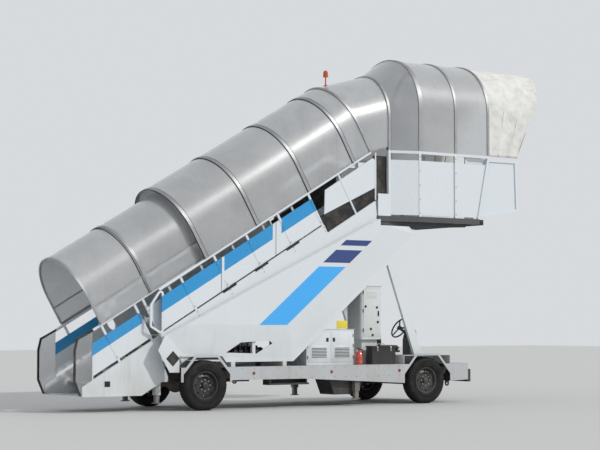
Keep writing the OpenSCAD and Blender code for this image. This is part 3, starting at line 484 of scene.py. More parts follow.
@dataclass(frozen=True)
class Lens(Finish):
    """Clear or coloured lamp lens with fine ribs."""

    ribs: float = 260.0
    clear: float = 0.5

    def dress(self, graph: Graph) -> None:
        """Sets up the shader."""
        x, y, _ = graph.axes()
        wave = graph.math("SINE", graph.times(graph.plus(x, y), self.ribs))
        graph.set(Base_Color=self.colour, Roughness=self.roughness, Transmission_Weight=self.clear, IOR=1.45)
        graph.set(Normal=graph.bump(wave, 0.4, 0.001))


WHITE = (0.665, 0.705, 0.730)
GUARD_WHITE = (0.675, 0.720, 0.755)
STRIPE_BLUE = (0.010, 0.275, 0.600)
AZURE = (0.045, 0.400, 0.880)
DEEP_BLUE = (0.012, 0.045, 0.200)

LOWER_BANDS = (Band(STRIPE_BLUE, (0.690, 0.870), Axis.X, (-4.70, -3.68)),)
UPPER_BANDS = tuple(Band(STRIPE_BLUE, (0.700, 0.930), Axis.X, ends)
                    for ends in ((-3.40, -2.225), (-2.175, -1.180), (-1.000, -0.090)))
BAND_WIDTH = (0.0, 0.365)
FRAME_BANDS = (
    Band(AZURE, BAND_WIDTH, Axis.Z, (1.425, 2.450)),
    Band(DEEP_BLUE, BAND_WIDTH, Axis.Z, (2.520, 2.750)),
    Band(DEEP_BLUE, BAND_WIDTH, Axis.Z, (2.830, 2.930)),
)

WHITE_PAINT = Paint("white_paint", WHITE, 0.30, dirt=0.55, coat=0.3)
# Painted shade: this grey darkens the skirts for the shade they lie in, and their dirt is raised as well.
SKIRT_PAINTED_SHADE = Paint("skirt_painted_shade", (0.47, 0.50, 0.53), 0.34, dirt=0.7, coat=0.2)
FRAME_SKIN = Paint("frame_skin", WHITE, 0.30, dirt=0.45, coat=0.3, bands=FRAME_BANDS,
                   band_angle=math.radians(39.3), band_foot=(AXLE_X - 3.034, 1.438))
FRAME_PAINT = Paint("frame_paint", (0.62, 0.63, 0.62), 0.42, dirt=0.7)
LOWER_GUARD = Paint("lower_guard", GUARD_WHITE, 0.28, dirt=0.30, coat=0.4, bands=LOWER_BANDS)
UPPER_GUARD = Paint("upper_guard", GUARD_WHITE, 0.28, dirt=0.25, coat=0.4, bands=UPPER_BANDS)
SIDE_GUARD = Paint("side_guard", GUARD_WHITE, 0.30, dirt=0.25, coat=0.3)
CABINET_PAINT = Paint("cabinet_paint", (0.62, 0.65, 0.64), 0.35, dirt=0.40, dirt_top=2.3)
BLACK_PAINT = Paint("black_paint", (0.018, 0.018, 0.020), 0.45, dirt=0.22, dirt_top=1.0)
TANK_PAINT = Paint("tank_paint", (0.015, 0.015, 0.016), 0.40, dirt=0.18, dirt_top=1.0)
AXLE_PAINT = Paint("axle_paint", (0.035, 0.034, 0.033), 0.55, dirt=0.9, dirt_top=1.0)
RIM_PAINT = Paint("rim_paint", (0.026, 0.026, 0.028), 0.42, dirt=0.20, dirt_top=1.1)
RED_PAINT = Paint("red_paint", (0.62, 0.045, 0.015), 0.30, dirt=0.3, dirt_top=1.2, coat=0.4)
JACK_PAINT = Paint("jack_paint", (0.16, 0.16, 0.165), 0.35, dirt=0.5, dirt_top=1.0)
CYLINDER_PAINT = Paint("cylinder_paint", (0.20, 0.21, 0.23), 0.3, dirt=0.4)
YELLOW_PAINT = Paint("yellow_paint", (0.72, 0.60, 0.05), 0.4, dirt=0.4)
ENGINE_IRON = Paint("engine_iron", (0.10, 0.10, 0.10), 0.6, dirt=0.8)
TREAD_METAL = Metal("tread_metal", (0.50, 0.51, 0.52), 0.42, grain=(160.0, 4.0, 160.0), tarnish=0.7)
HOOP_METAL = Metal("hoop_metal", (0.38, 0.385, 0.39), 0.46, tarnish=0.4)
BOLT_ZINC = Metal("bolt_zinc", (0.55, 0.56, 0.57), 0.35, tarnish=0.5)
CHROME = Metal("chrome", (0.82, 0.82, 0.83), 0.10, tarnish=0.1)
PLATFORM_PLATE = ChequerPlate("platform_plate", (0.13, 0.135, 0.14), 0.5, side=(0.075, 0.076, 0.078))
DECK_PLATE = ChequerPlate("deck_plate", (0.36, 0.37, 0.37), 0.40)
SMOKED_SHEET = SmokedSheet("smoked_sheet", (0.68, 0.695, 0.71), 0.14, clear=0.66)
CLEAR_SHEET = SmokedSheet("clear_sheet", (0.68, 0.69, 0.71), 0.08, clear=0.88, gloss=0.20,
                          haze=(0.70, 0.70, 0.69))
BLACK_RUBBER = Rubber("black_rubber", (0.018, 0.018, 0.018), 0.62)
TYRE_RUBBER = Rubber("tyre_rubber", (0.007, 0.007, 0.008), 0.66, amount=0.11)
SEAT_VINYL = Moulding("seat_vinyl", (0.022, 0.022, 0.024), 0.45)
DESK_PLASTIC = Moulding("desk_plastic", (0.036, 0.036, 0.039), 0.5, pebbles=220.0)
BLACK_PLASTIC = Moulding("black_plastic", (0.020, 0.020, 0.022), 0.38, pebbles=380.0, depth=0.2)
HOOD_FABRIC = HoodCloth("hood_fabric", (0.74, 0.745, 0.71), 0.78)
AMBER_LENS = Lens("amber_lens", (0.62, 0.11, 0.015), 0.12, clear=0.3)
RED_LENS = Lens("red_lens", (0.62, 0.02, 0.02), 0.14)
CLEAR_LENS = Lens("clear_lens", (0.86, 0.87, 0.88), 0.08, clear=0.8)

NODE_FINISHES: tuple[tuple[Finish, str], ...] = (
    (AXLE_PAINT, "chassis_frame front_axle rear_axle leaf_springs knuckle_right knuckle_left"),
    (DECK_PLATE, "deck"),
    (SKIRT_PAINTED_SHADE, "skirt_right skirt_left"),
    (ENGINE_IRON, "engine_block"),
    (WHITE_PAINT, "engine_housing struts lower_stringers upper_stringers"),
    (CABINET_PAINT, "control_cabinet"),
    (SEAT_VINYL, "driver_seat"),
    (DESK_PLASTIC, "driver_desk"),
    (BLACK_PLASTIC, "steering_wheel"),
    (TANK_PAINT, "tank_and_battery"),
    (RED_PAINT, "extinguisher"),
    (BLACK_PAINT, "running_steps front_bumper"),
    (FRAME_SKIN, "main_frame_right main_frame_left"),
    (FRAME_PAINT, "main_frame_ties"),
    (TREAD_METAL, "lower_treads upper_treads"),
    (LOWER_GUARD, "lower_guards"),
    # The gap covers' black rubber also stands in as painted shade for the canopy's shade on the far guard's
    # inner face.
    (BLACK_RUBBER, "entry_edges gap_covers platform_buffer"),
    (SMOKED_SHEET, "lower_canopy upper_canopy hood_shell"),
    (HOOP_METAL, "lower_ribs upper_ribs hood_frame"),
    (CYLINDER_PAINT, "lift_barrel"),
    (UPPER_GUARD, "upper_guards platform_guards"),
    (CHROME, "lift_rod"),
    (PLATFORM_PLATE, "platform_deck"),
    (CLEAR_SHEET, "hood_throat entry_panes"),
    (AMBER_LENS, "beacon"),
    (SIDE_GUARD, "side_guard_right side_guard_left"),
    (RIM_PAINT, "rim_front_right rim_front_left rim_rear_right rim_rear_left"),
    (JACK_PAINT, "jack_front_right jack_front_left jack_rear_right jack_rear_left"),
)


def about(middle: float, half: float) -> Span:
    """Gives a span's ends from its middle and half its length."""
    return middle - half, middle + half


def round_turn(count: int) -> list[float]:
    """Gives the angles of count even steps round a circle."""
    return [2 * math.pi * k / count for k in range(count)]


def hand_over(piece: bpy.types.Object, finish: Finish, slot: str, body: str = Body.CHASSIS,
              *replaced: str) -> None:
    """Gives a finished piece its finish and its place in the frame.

    Args:
        piece: The piece.
        finish: What it is finished with.
        slot: The record's slot that its finish belongs to, which is not used.
        body: Name of the body that it rides on.
        replaced: Nodes of the frame that it stands for.
    """
    piece.data.materials.clear()
    piece.data.materials.append(finish.material())
    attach(piece, str(body))
    if replaced:
        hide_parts(*replaced)
    LOG.info("%s rides on %s", piece.name, body)


def in_scene(name: str, data: bpy.types.ID) -> bpy.types.Object:
    """Makes an object of some data and links it to the scene."""
    made = bpy.data.objects.new(name, data)
    bpy.context.scene.collection.objects.link(made)
    return made


def bake(piece: bpy.types.Object) -> bpy.types.Mesh:
    """Gives a piece the mesh that its modifiers make, and removes them."""
    depsgraph = bpy.context.evaluated_depsgraph_get()
    made = bpy.data.meshes.new_from_object(piece.evaluated_get(depsgraph))
    piece.modifiers.clear()
    piece.data = made
    return made


def points_mesh(name: str, points: list[Vector],
                edges: list[tuple[int, int]] | None = None) -> bpy.types.Mesh:
    """Makes a mesh of loose points, or of points joined by edges."""
    mesh = bpy.data.meshes.new(name)
    mesh.from_pydata([tuple(point) for point in points], edges or [], [])
    return mesh


class Mesher:
    """Gathers solid shapes into one mesh."""

    def __init__(self) -> None:
        """Starts an empty mesh."""
        self.bm = bmesh.new()

    def _place(self, verts: list[bmesh.types.BMVert], matrix: Matrix) -> None:
        """Moves fresh vertices by a matrix."""
        bmesh.ops.transform(self.bm, matrix=matrix, verts=verts)

    def slab(self, x: Span, y: Span, z: Span, bevel: float = 0.0, matrix: Matrix | None = None) -> None:
        """Adds a box between two corners.

        Args:
            x: Its ends along X.
            y: Its ends along Y.
            z: Its ends along Z.
            bevel: Width of its rounded edges.
            matrix: A turn or move that the box then gets.
        """
        made = bmesh.ops.create_cube(self.bm, size=1.0)
        size = Vector((x[1] - x[0], y[1] - y[0], z[1] - z[0]))
        middle = Vector((x[0] + x[1], y[0] + y[1], z[0] + z[1])) / 2
        self._place(made["verts"], Matrix.Translation(middle) @ Matrix.Diagonal((*size, 1.0)))
        verts = made["verts"]
        if bevel:
            edges = dict.fromkeys(edge for vert in verts for edge in vert.link_edges)
            rounded = bmesh.ops.bevel(self.bm, geom=list(edges), offset=bevel, segments=2, profile=0.5,
                                      affect="EDGES")
            verts = list(dict.fromkeys(vert for face in rounded["faces"] for vert in face.verts))
        if matrix is not None:
            self._place(verts, matrix)

    def disc(self, centre: Point, axis: Axis, radius: float, depth: float, top: float | None = None,
             sides: int = 24) -> None:
        """Adds a cylinder or cone frustum that starts at centre and runs along +axis.

        Args:
            centre: Middle of its first end.
            axis: Axis that it runs along.
            radius: Radius at the first end.
            depth: Length, which may be negative.
            top: Radius at the other end, the same if not given.
            sides: Number of sides.
        """
        made = bmesh.ops.create_cone(self.bm, cap_ends=True, segments=sides, radius1=radius,
                                     radius2=radius if top is None else top, depth=abs(depth))
        turn = {Axis.X: Matrix.Rotation(math.pi / 2, 4, "Y"), Axis.Y: Matrix.Rotation(-math.pi / 2, 4, "X"),
                Axis.Z: Matrix.Identity(4)}[axis]
        lift = Matrix.Translation((0.0, 0.0, abs(depth) / 2))
        flip = Matrix.Identity(4) if depth > 0 else Matrix.Rotation(math.pi, 4, "X")
        self._place(made["verts"], Matrix.Translation(centre) @ turn @ flip @ lift)

    def prism(self, outline: list[tuple[float, float]], y: Span) -> None:
        """Adds an outline in X and Z, drawn out along Y."""
        near = [self.bm.verts.new((px, y[0], pz)) for px, pz in outline]
        far = [self.bm.verts.new((px, y[1], pz)) for px, pz in outline]
        self.bm.faces.new(near)
        self.bm.faces.new(far[::-1])
        count = len(outline)
        for k in range(count):
            nxt = (k + 1) % count
            self.bm.faces.new((near[k], far[k], far[nxt], near[nxt]))

    def lathe(self, profile: list[tuple[float, float]], centre: Point, segments: int = 48,
              closed: bool = True) -> None:
        """Adds a ring or disc turned about an axis along Y.

        Args:
            profile: Radius and Y of each point, from the centre outwards.
            centre: Place of the axis.
            segments: Number of steps round.
            closed: Whether the profile's last point joins its first.
        """
        rings = [[self.bm.verts.new((centre[0] + radius * math.cos(angle), centre[1] + y,
                                     centre[2] + radius * math.sin(angle))) for radius, y in profile]
                 for angle in round_turn(segments)]
        last = len(profile) if closed else len(profile) - 1
        for step in range(segments):
            here, there = rings[step], rings[(step + 1) % segments]
            for k in range(last):
                nxt = (k + 1) % len(profile)
                self.bm.faces.new((here[k], here[nxt], there[nxt], there[k]))

    def tube(self, path: list[Vector], radius: float, sides: int = 10, closed: bool = False) -> None:
        """Adds a round tube along a path.

        Args:
            path: Points along its middle.
            radius: Radius of the tube.
            sides: Number of sides.
            closed: Whether the path is a loop.
        """
        rings = []
        count = len(path)
        across = None
        for k, here in enumerate(path):
            before = path[k - 1] if k or closed else here
            after = path[(k + 1) % count] if k < count - 1 or closed else here
            ahead = (after - before).normalized()
            if across is None:
                across = ahead.orthogonal().normalized()
            else:
                across = (across - ahead * across.dot(ahead)).normalized()
            upward = ahead.cross(across)
            rings.append([self.bm.verts.new(here + (across * math.cos(a) + upward * math.sin(a)) * radius)
                          for a in round_turn(sides)])
        for k in range(count if closed else count - 1):
            here, there = rings[k], rings[(k + 1) % count]
            for s in range(sides):
                t = (s + 1) % sides
                self.bm.faces.new((here[s], here[t], there[t], there[s]))
        if not closed:
            self.bm.faces.new(rings[0][::-1])
            self.bm.faces.new(rings[-1])

    def done(self, name: str) -> bpy.types.Object:
        """Turns what was gathered into an object at the origin."""
        bmesh.ops.recalc_face_normals(self.bm, faces=self.bm.faces)
        mesh = bpy.data.meshes.new(name)
        self.bm.to_mesh(mesh)
        self.bm.free()
        mesh.shade_smooth()
        mesh.set_sharp_from_angle(angle=math.radians(SMOOTH_ANGLE))
        return in_scene(name, mesh)

    def give(self, name: str, finish: Finish, slot: str, body: str = Body.CHASSIS, *replaced: str) -> None:
        """Turns what was gathered into a piece and hands it over."""
        hand_over(self.done(name), finish, slot, body, *replaced)


class NodeTree:
    """A Geometry Nodes tree whose sizes are named inputs."""

    def __init__(self, name: str, **sizes: str) -> None:
        """Starts a tree with one mesh in and one mesh out.

        Args:
            name: The tree's name.
            sizes: Socket kind of each named input.
        """
        self.tree = bpy.data.node_groups.new(name, "GeometryNodeTree")
        self.sockets: dict[str, str] = {}
        for way in ("INPUT", "OUTPUT"):
            self.tree.interface.new_socket("Geometry", in_out=way, socket_type="NodeSocketGeometry")
        for size, kind in {**sizes, "Material": "Material"}.items():
            made = self.tree.interface.new_socket(size, in_out="INPUT", socket_type="NodeSocket" + kind)
            self.sockets[size] = made.identifier
        self.given = {socket.name: socket for socket in self.node("NodeGroupInput").outputs}

    def node(self, kind: str, joins: dict | None = None, **settings: object) -> bpy.types.Node:
        """Adds a node.

        Args:
            kind: Its type.
            joins: What its inputs are joined to, by the inputs' names or numbers.
            settings: Its properties.

        Returns:
            The node.
        """
        made = self.tree.nodes.new(kind)
        for name, value in settings.items():
            setattr(made, name, value)
        for name, source in (joins or {}).items():
            self.tree.links.new(source, made.inputs[name])
        return made

    def copies(self, points: bpy.types.NodeSocket, shape: bpy.types.NodeSocket,
               turn: bpy.types.NodeSocket | None = None) -> bpy.types.Node:
        """Adds copies of a shape on points, each turned alike."""
        joins = {"Points": points, "Instance": shape}
        if turn is not None:
            joins["Rotation"] = turn
        return self.node("GeometryNodeInstanceOnPoints", joins)

    def end(self, geometry: bpy.types.NodeSocket) -> None:
        """Ends the tree in Realize Instances and Set Material."""
        real = self.node("GeometryNodeRealizeInstances", {0: geometry})
        painted = self.node("GeometryNodeSetMaterial",
                            {"Geometry": real.outputs[0], "Material": self.given["Material"]})
        self.node("NodeGroupOutput", {0: painted.outputs[0]})

    def run(self, name: str, mesh: bpy.types.Mesh, **sizes: object) -> bpy.types.Object:
        """Runs the tree on a mesh and keeps the plain result.

        Args:
            name: Name of the piece.
            mesh: What the tree starts from.
            sizes: The inputs, by name.

        Returns:
            The finished piece, with no modifier.
        """
        piece = in_scene(name, mesh)
        modifier = piece.modifiers.new("nodes", "NODES")
        modifier.node_group = self.tree
        for size, value in sizes.items():
            modifier[self.sockets[size]] = value
        made = bake(piece)
        made.shade_smooth()
        made.set_sharp_from_angle(angle=math.radians(SMOOTH_ANGLE))
        return piece


class BoltTree(NodeTree):
    """A bolt head or rivet on each point of a mesh, along a given axis."""

    taper: float = 0.82

    def __init__(self) -> None:
        """Builds the tree."""
        super().__init__("bolts", Radius="Float", Height="Float", Sides="Int", Turn="Rotation")
        top = self.node("ShaderNodeMath", {0: self.given["Radius"]}, operation="MULTIPLY")
        top.inputs[1].default_value = self.taper
        head = self.node("GeometryNodeMeshCone", {
            "Vertices": self.given["Sides"], "Radius Top": top.outputs[0],
            "Radius Bottom": self.given["Radius"], "Depth": self.given["Height"]})
        self.end(self.copies(self.given["Geometry"], head.outputs["Mesh"], self.given["Turn"]).outputs[0])


class SweepTree(NodeTree):
    """A round bead along each chain of edges of a mesh."""

    def __init__(self) -> None:
        """Builds the tree."""
        super().__init__("beads", Radius="Float", Sides="Int")
        curve = self.node("GeometryNodeMeshToCurve", {"Mesh": self.given["Geometry"]})
        ring = self.node("GeometryNodeCurvePrimitiveCircle",
                         {"Resolution": self.given["Sides"], "Radius": self.given["Radius"]}, mode="RADIUS")
        swept = self.node("GeometryNodeCurveToMesh",
                          {"Curve": curve.outputs[0], "Profile Curve": ring.outputs[0]})
        swept.inputs["Fill Caps"].default_value = True
        self.end(swept.outputs[0])


class BarTree(NodeTree):
    """A box of one size on each point of a mesh."""

    def __init__(self) -> None:
        """Builds the tree."""
        super().__init__("bars", Size="Vector", Turn="Rotation")
        bar = self.node("GeometryNodeMeshCube", {"Size": self.given["Size"]})
        self.end(self.copies(self.given["Geometry"], bar.outputs["Mesh"], self.given["Turn"]).outputs[0])


class LugTree(NodeTree):
    """Rings of tread blocks round a wheel's axis, one ring for each point of a mesh."""

    def __init__(self) -> None:
        """Builds the tree."""
        super().__init__("lugs", Radius="Float", Count="Int", Block="Vector", Skew="Float")
        ring = self.node("GeometryNodeMeshCircle",
                         {"Vertices": self.given["Count"], "Radius": self.given["Radius"]}, fill_type="NONE")
        block = self.node("GeometryNodeMeshCube", {"Size": self.given["Block"]})
        outwards = self.node("GeometryNodeInputPosition")
        facing = self.node("FunctionNodeAlignRotationToVector", {"Vector": outwards.outputs[0]}, axis="X")
        twist = self.node("ShaderNodeCombineXYZ", {0: self.given["Skew"]})
        turned = self.node("FunctionNodeEulerToRotation", {0: twist.outputs[0]})
        spun = self.node("FunctionNodeRotateRotation",
                         {"Rotation": facing.outputs[0], "Rotate By": turned.outputs[0]},
                         rotation_space="LOCAL")
        lugs = self.copies(ring.outputs[0], block.outputs["Mesh"], spun.outputs[0])
        placed = self.copies(self.given["Geometry"], lugs.outputs[0])
        placed.inputs["Rotation"].default_value = (math.pi / 2, 0.0, 0.0)
        self.end(placed.outputs[0])


TURN_UP = (0.0, 0.0, 0.0)
TURN_SIDE = {Side.RIGHT: (math.pi / 2, 0.0, 0.0), Side.LEFT: (-math.pi / 2, 0.0, 0.0)}


@dataclass
class Workshop:
    """The trees that several sub-assemblies share."""

    bolts: BoltTree = field(default_factory=BoltTree)
    beads: SweepTree = field(default_factory=SweepTree)
    bars: BarTree = field(default_factory=BarTree)
    lugs: LugTree = field(default_factory=LugTree)

    def heads(self, name: str, places: list[Vector], size: tuple[float, float, int], side: Side, slot: str,
              body: str = Body.CHASSIS) -> None:
        """Makes zinc bolt heads or rivets that face outwards.

        Args:
            name: Name of the piece.
            places: Middles of the heads.
            size: Radius, height and number of sides.
            side: The machine's side that they face.
            slot: The record's slot of their finish.
            body: What they ride on.
        """
        made = self.bolts.run(name, points_mesh(name, places), Radius=size[0], Height=size[1], Sides=size[2],
                              Turn=TURN_SIDE[side], Material=BOLT_ZINC.material())
        hand_over(made, BOLT_ZINC, slot, body)

    def rows(self, name: str, places: list[Vector], size: Point, finish: Finish, slot: str,
             body: str = Body.CHASSIS, turn: Point = TURN_UP) -> None:
        """Makes one box of a size on each place."""
        made = self.bars.run(name, points_mesh(name, places), Size=size, Turn=turn,
                             Material=finish.material())
        hand_over(made, finish, slot, body)


@dataclass
class Wheel:
    """A tyre with tread blocks, and what is bolted to its rim."""

    node: str
    centre: Point
    side: Side
    radius: float = 0.420
    half_width: float = 0.120
    rim_radius: float = 0.2353
    ridges: tuple[Span, ...] = ((0.300, 0.306), (0.352, 0.356))
    segments: int = 96
    lug_count: int = 52
    lug_height: float = 0.010
    lug_size: float = 0.034
    lug_skew: float = 0.28
    lug_rows: Span = (-0.062, 0.021)
    nut_circle: float = 0.095
    nut: tuple[float, float, int] = (0.013, 0.022, 6)
    nut_y: Span = (0.043, 0.010)
    cap: tuple[Span, ...] = ((0.0005, 0.085), (0.030, 0.084), (0.046, 0.078), (0.052, 0.066), (0.052, 0.062),
                             (0.0005, 0.062))

    def profile(self) -> list[Span]:
        """Gives the tyre's section as radius and Y, from the bead over the tread and back."""
        rim, r, w = self.rim_radius, self.radius - self.lug_height, self.half_width
        half = [(rim, w - 0.030), (rim + 0.012, w - 0.018), (rim + 0.030, w - 0.008),
                (rim + 0.034, w - 0.003), (rim + 0.044, w - 0.003), (rim + 0.048, w - 0.007),
                (r - 0.060, w - 0.001), (r - 0.050, w - 0.0005), (r - 0.030, w - 0.006),
                (r - 0.012, w - 0.016), (r, w - 0.034)]
        return [(radius, -y) for radius, y in half] + [(radius, y) for radius, y in reversed(half)]

    def build(self, shop: Workshop) -> None:
        """Makes the tyre, its tread, the wheel nuts and the hub cap."""
        x, y, z = self.centre
        sign = self.side.value
        body = "wheel_" + self.node
        tyre = Mesher()
        tyre.lathe(self.profile(), self.centre, self.segments)
        crest = self.half_width + 0.0006
        for inner, outer in self.ridges:
            for face in (-1, 1):
                foot, top = face * (crest - 0.006), face * crest
                ring = [(inner, foot), (inner, top), (outer, top), (outer, foot)]
                tyre.lathe(ring, self.centre, self.segments)
        tyre.give("carcass_" + self.node, TYRE_RUBBER, "tyre", body, "tyre_" + self.node)
        for label, sense in (("a", 1), ("b", -1)):
            name = f"tread_{self.node}_{label}"
            places = [Vector((x, y + across, z)) for across in sorted(row * sense for row in self.lug_rows)]
            blocks = shop.lugs.run(name, points_mesh(name, places), Count=self.lug_count,
                                   Radius=self.radius - self.lug_height * 0.6, Skew=self.lug_skew * sense,
                                   Block=(self.lug_height * 1.2, self.lug_size, self.lug_size),
                                   Material=TYRE_RUBBER.material())
            hand_over(blocks, TYRE_RUBBER, "tyre", body)
        face = y + sign * self.nut_y[0] + sign * self.nut_y[1]
        nuts = [Vector((x + self.nut_circle * math.cos(a), face, z + self.nut_circle * math.sin(a)))
                for a in round_turn(8)]
        shop.heads("wheel_nuts_" + self.node, nuts, self.nut, self.side, "rim_paint", body)
        cap = Mesher()
        cap.lathe([(radius, sign * out) for radius, out in self.cap], self.centre, segments=32, closed=False)
        cap.give("hub_cap_" + self.node, RIM_PAINT, "rim_paint", body)


@dataclass
class CanopyTrim:
    """Seals along the canopies' hoops and rivets along their base rails."""

    lower_half: float = 0.715
    upper_half: float = 0.830
    base: float = 1.0703
    lower_height: float = 1.240
    upper_height: float = 1.365
    seal: float = 0.007
    lift: float = 0.006
    hoops: tuple[float, ...] = (-3.57, -2.38, -1.131, -0.010)
    rivet: tuple[float, float, int] = (0.008, 0.006, 10)
    pitch: float = 0.15

    def arch(self, along: float, half: float, height: float, steps: int = 40) -> list[Vector]:
        """Gives the points of a hoop square to the slope, from foot to foot."""
        straight = height - half
        flat = [(-half, 0.0), (-half, straight * 0.5)]
        flat += [(-half * math.cos(math.pi * k / steps), straight + half * math.sin(math.pi * k / steps))
                 for k in range(steps + 1)]
        flat += [(half, straight * 0.5), (half, 0.0)]
        return [SLOPE.point(along, side, self.base + up) for side, up in flat]

    def seals(self, shop: Workshop, name: str, body: Body, places: list[float], half: float,
              height: float) -> None:
        """Makes one mesh of the seals at the given places along the slope."""
        points: list[Vector] = []
        edges: list[tuple[int, int]] = []
        for along in places:
            ring = self.arch(along, half + self.lift, height + self.lift)
            edges += [(k + len(points), k + 1 + len(points)) for k in range(len(ring) - 1)]
            points += ring
        made = shop.beads.run(name, points_mesh(name, points, edges), Radius=self.seal, Sides=8,
                              Material=BLACK_RUBBER.material())
        hand_over(made, BLACK_RUBBER, "black_rubber", body)

    def rivets(self, shop: Workshop, name: str, body: Body, ends: Span, half: float) -> None:
        """Makes the rivets that hold a canopy's foot, on both sides."""
        count = int((ends[1] - ends[0]) / self.pitch)
        for side in Side:
            out = side.value * (half + 0.003)
            places = [SLOPE.point(ends[0] + 0.05 + k * self.pitch, out, self.base + 0.030)
                      for k in range(count)]
            shop.heads(f"{name}_{side.label}", places, self.rivet, side, "hoop_metal", body)

    def build(self, shop: Workshop) -> None:
        """Makes the trim of both canopies."""
        upper = [edge for along in self.hoops for edge in (along - 0.006, along + 0.066)]
        self.seals(shop, "lower_seals", Body.CHASSIS, [-4.738, -4.662], self.lower_half, self.lower_height)
        self.seals(shop, "upper_seals", Body.UPPER, upper, self.upper_half, self.upper_height)
        self.rivets(shop, "lower_rivets", Body.CHASSIS, (-5.70, -3.62), self.lower_half)
        self.rivets(shop, "upper_rivets", Body.UPPER, (-3.48, 0.38), self.upper_half)


@dataclass
class FlightTrim:
    """Nosings and grip ribs on the treads, with bolts and joint strips on the flights' guards."""

    rise: float = 0.194
    nose_at: Point = (0.017, 0.0, 0.001)
    nose: Point = (0.036, -0.02, 0.006)
    rib_at: Point = (0.066, 0.0, 0.0008)
    rib: Point = (0.014, -0.08, 0.004)
    rib_pitch: float = 0.036
    rib_count: int = 6
    upper_posts: tuple[float, ...] = (-4.140, -3.390, -2.640, -1.890, -1.140)
    lower_posts: tuple[float, ...] = (-5.760, -5.060, -4.880, -4.340, -3.620, -2.900, -2.180, -1.480)
    bolt: tuple[float, float, int] = (0.010, 0.010, 12)
    joints: tuple[float, ...] = (-2.200, -1.090)
    strip_half: float = 0.024
    panel_face: float = 0.821
    panel_edges: Span = (0.434, 0.921)

    def treads(self, shop: Workshop, name: str, body: Body, steps: range, back: float, half: float) -> None:
        """Makes the strips on one flight's treads.

        Args:
            shop: The shared trees.
            name: What the pieces' names start with.
            body: What they ride on.
            steps: Numbers of the steps, counted down from the platform.
            back: X of the nosing of a step numbered 0.
            half: Half the treads' width.
        """
        run = self.rise / math.tan(SLOPE.angle)
        edges = [Vector((back - k * run, 0.0, SLOPE.foot_z - k * self.rise)) for k in steps]
        noses = [edge + Vector(self.nose_at) for edge in edges]
        x, y, z = self.rib_at
        ribs = [edge + Vector((x + self.rib_pitch * k, y, z))
                for edge in edges for k in range(self.rib_count)]
        for kind, places, (long, gap, high), finish in (("noses", noses, self.nose, YELLOW_PAINT),
                                                        ("ribs", ribs, self.rib, TREAD_METAL)):
            size = (long, 2 * half + gap, high)
            shop.rows(f"{name}_{kind}", places, size, finish, "tread_metal", body)

    def bolts(self, shop: Workshop, name: str, body: Body, posts: tuple[float, ...], face: float,
              heights: tuple[float, ...]) -> None:
        """Makes the bolt heads on the posts of both guards of a flight."""
        for side in Side:
            places = [SLOPE.point(along, side.value * face, above) for along in posts for above in heights]
            shop.heads(f"{name}_{side.label}", places, self.bolt, side, "guard_paint", body)

    def strips(self) -> None:
        """Makes the cover strips over the upright joints of the upper guards."""
        low, high = self.panel_edges
        for side in Side:
            sign = side.value
            made = Mesher()
            for joint in self.joints:
                left, right = joint - self.strip_half, joint + self.strip_half
                outline = [SLOPE.upright(x, above) for x, above in
                           ((left, low), (right, low), (right, high), (left, high))]
                made.prism(outline, (sign * (self.panel_face - 0.001), sign * (self.panel_face + 0.003)))
            made.give(f"joint_strips_{side.label}", SIDE_GUARD, "guard_paint", Body.UPPER)

    def build(self, shop: Workshop) -> None:
        """Makes the trim of both flights."""
        self.treads(shop, "upper", Body.UPPER, range(1, 13), 1.070, 0.775)
        self.treads(shop, "lower", Body.CHASSIS, range(4, 16), 0.670, 0.635)
        self.bolts(shop, "upper_bolts", Body.UPPER, self.upper_posts, 0.828, (0.300, 0.370, 0.480, 0.880))
        self.bolts(shop, "lower_bolts", Body.CHASSIS, self.lower_posts, 0.688, (0.450, 0.815))
        self.strips()


@dataclass
class PlatformTrim:
    """Bolts on the platform's posts, ribs on its buffer and handles on the sliding guards."""

    posts: tuple[float, ...] = (1.935, 2.780)
    heights: tuple[float, ...] = (3.47, 3.72, 3.98, 4.24, 4.50)
    face: float = 1.002
    bolt: tuple[float, float, int] = (0.011, 0.010, 12)
    handle: Point = (3.93, 0.914, 4.08)
    grip: tuple[Span, ...] = ((-0.11, 0.0), (-0.11, 0.034), (-0.095, 0.05), (0.095, 0.05), (0.11, 0.034),
                              (0.11, 0.0))
    grip_out: float = 0.004
    grip_radius: float = 0.009
    foot_plates: tuple[Span, ...] = ((-0.14, -0.085), (0.085, 0.14))
    foot_half: Span = (0.02, 0.003)
    buffer: Point = (3.440, -0.95, 3.340)
    rib: Point = (0.014, 0.034, 0.088)
    rib_pitch: float = 0.10
    rib_count: int = 20

    def build(self, shop: Workshop) -> None:
        """Makes the platform's trim."""
        x, y, z = self.handle
        wide, thick = self.foot_half
        for side, guard in ((Side.RIGHT, Body.GUARD_RIGHT), (Side.LEFT, Body.GUARD_LEFT)):
            sign = side.value
            places = [Vector((post, sign * self.face, up)) for post in self.posts for up in self.heights]
            shop.heads(f"platform_bolts_{side.label}", places, self.bolt, side, "guard_paint", Body.UPPER)
            handle = Mesher()
            path = [Vector((x, sign * (y + self.grip_out - inward), z + run)) for run, inward in self.grip]
            handle.tube(path, self.grip_radius, 10)
            for low, high in self.foot_plates:
                handle.slab(about(x, wide), about(sign * y, thick), (z + low, z + high), FINE_EDGE)
            handle.give(f"guard_handle_{side.label}", BLACK_PLASTIC, "side_guard_paint", guard)
        x, y, z = self.buffer
        ribs = [Vector((x, y + self.rib_pitch * k, z)) for k in range(self.rib_count)]
        shop.rows("buffer_ribs", ribs, self.rib, BLACK_RUBBER, "black_rubber", Body.UPPER)


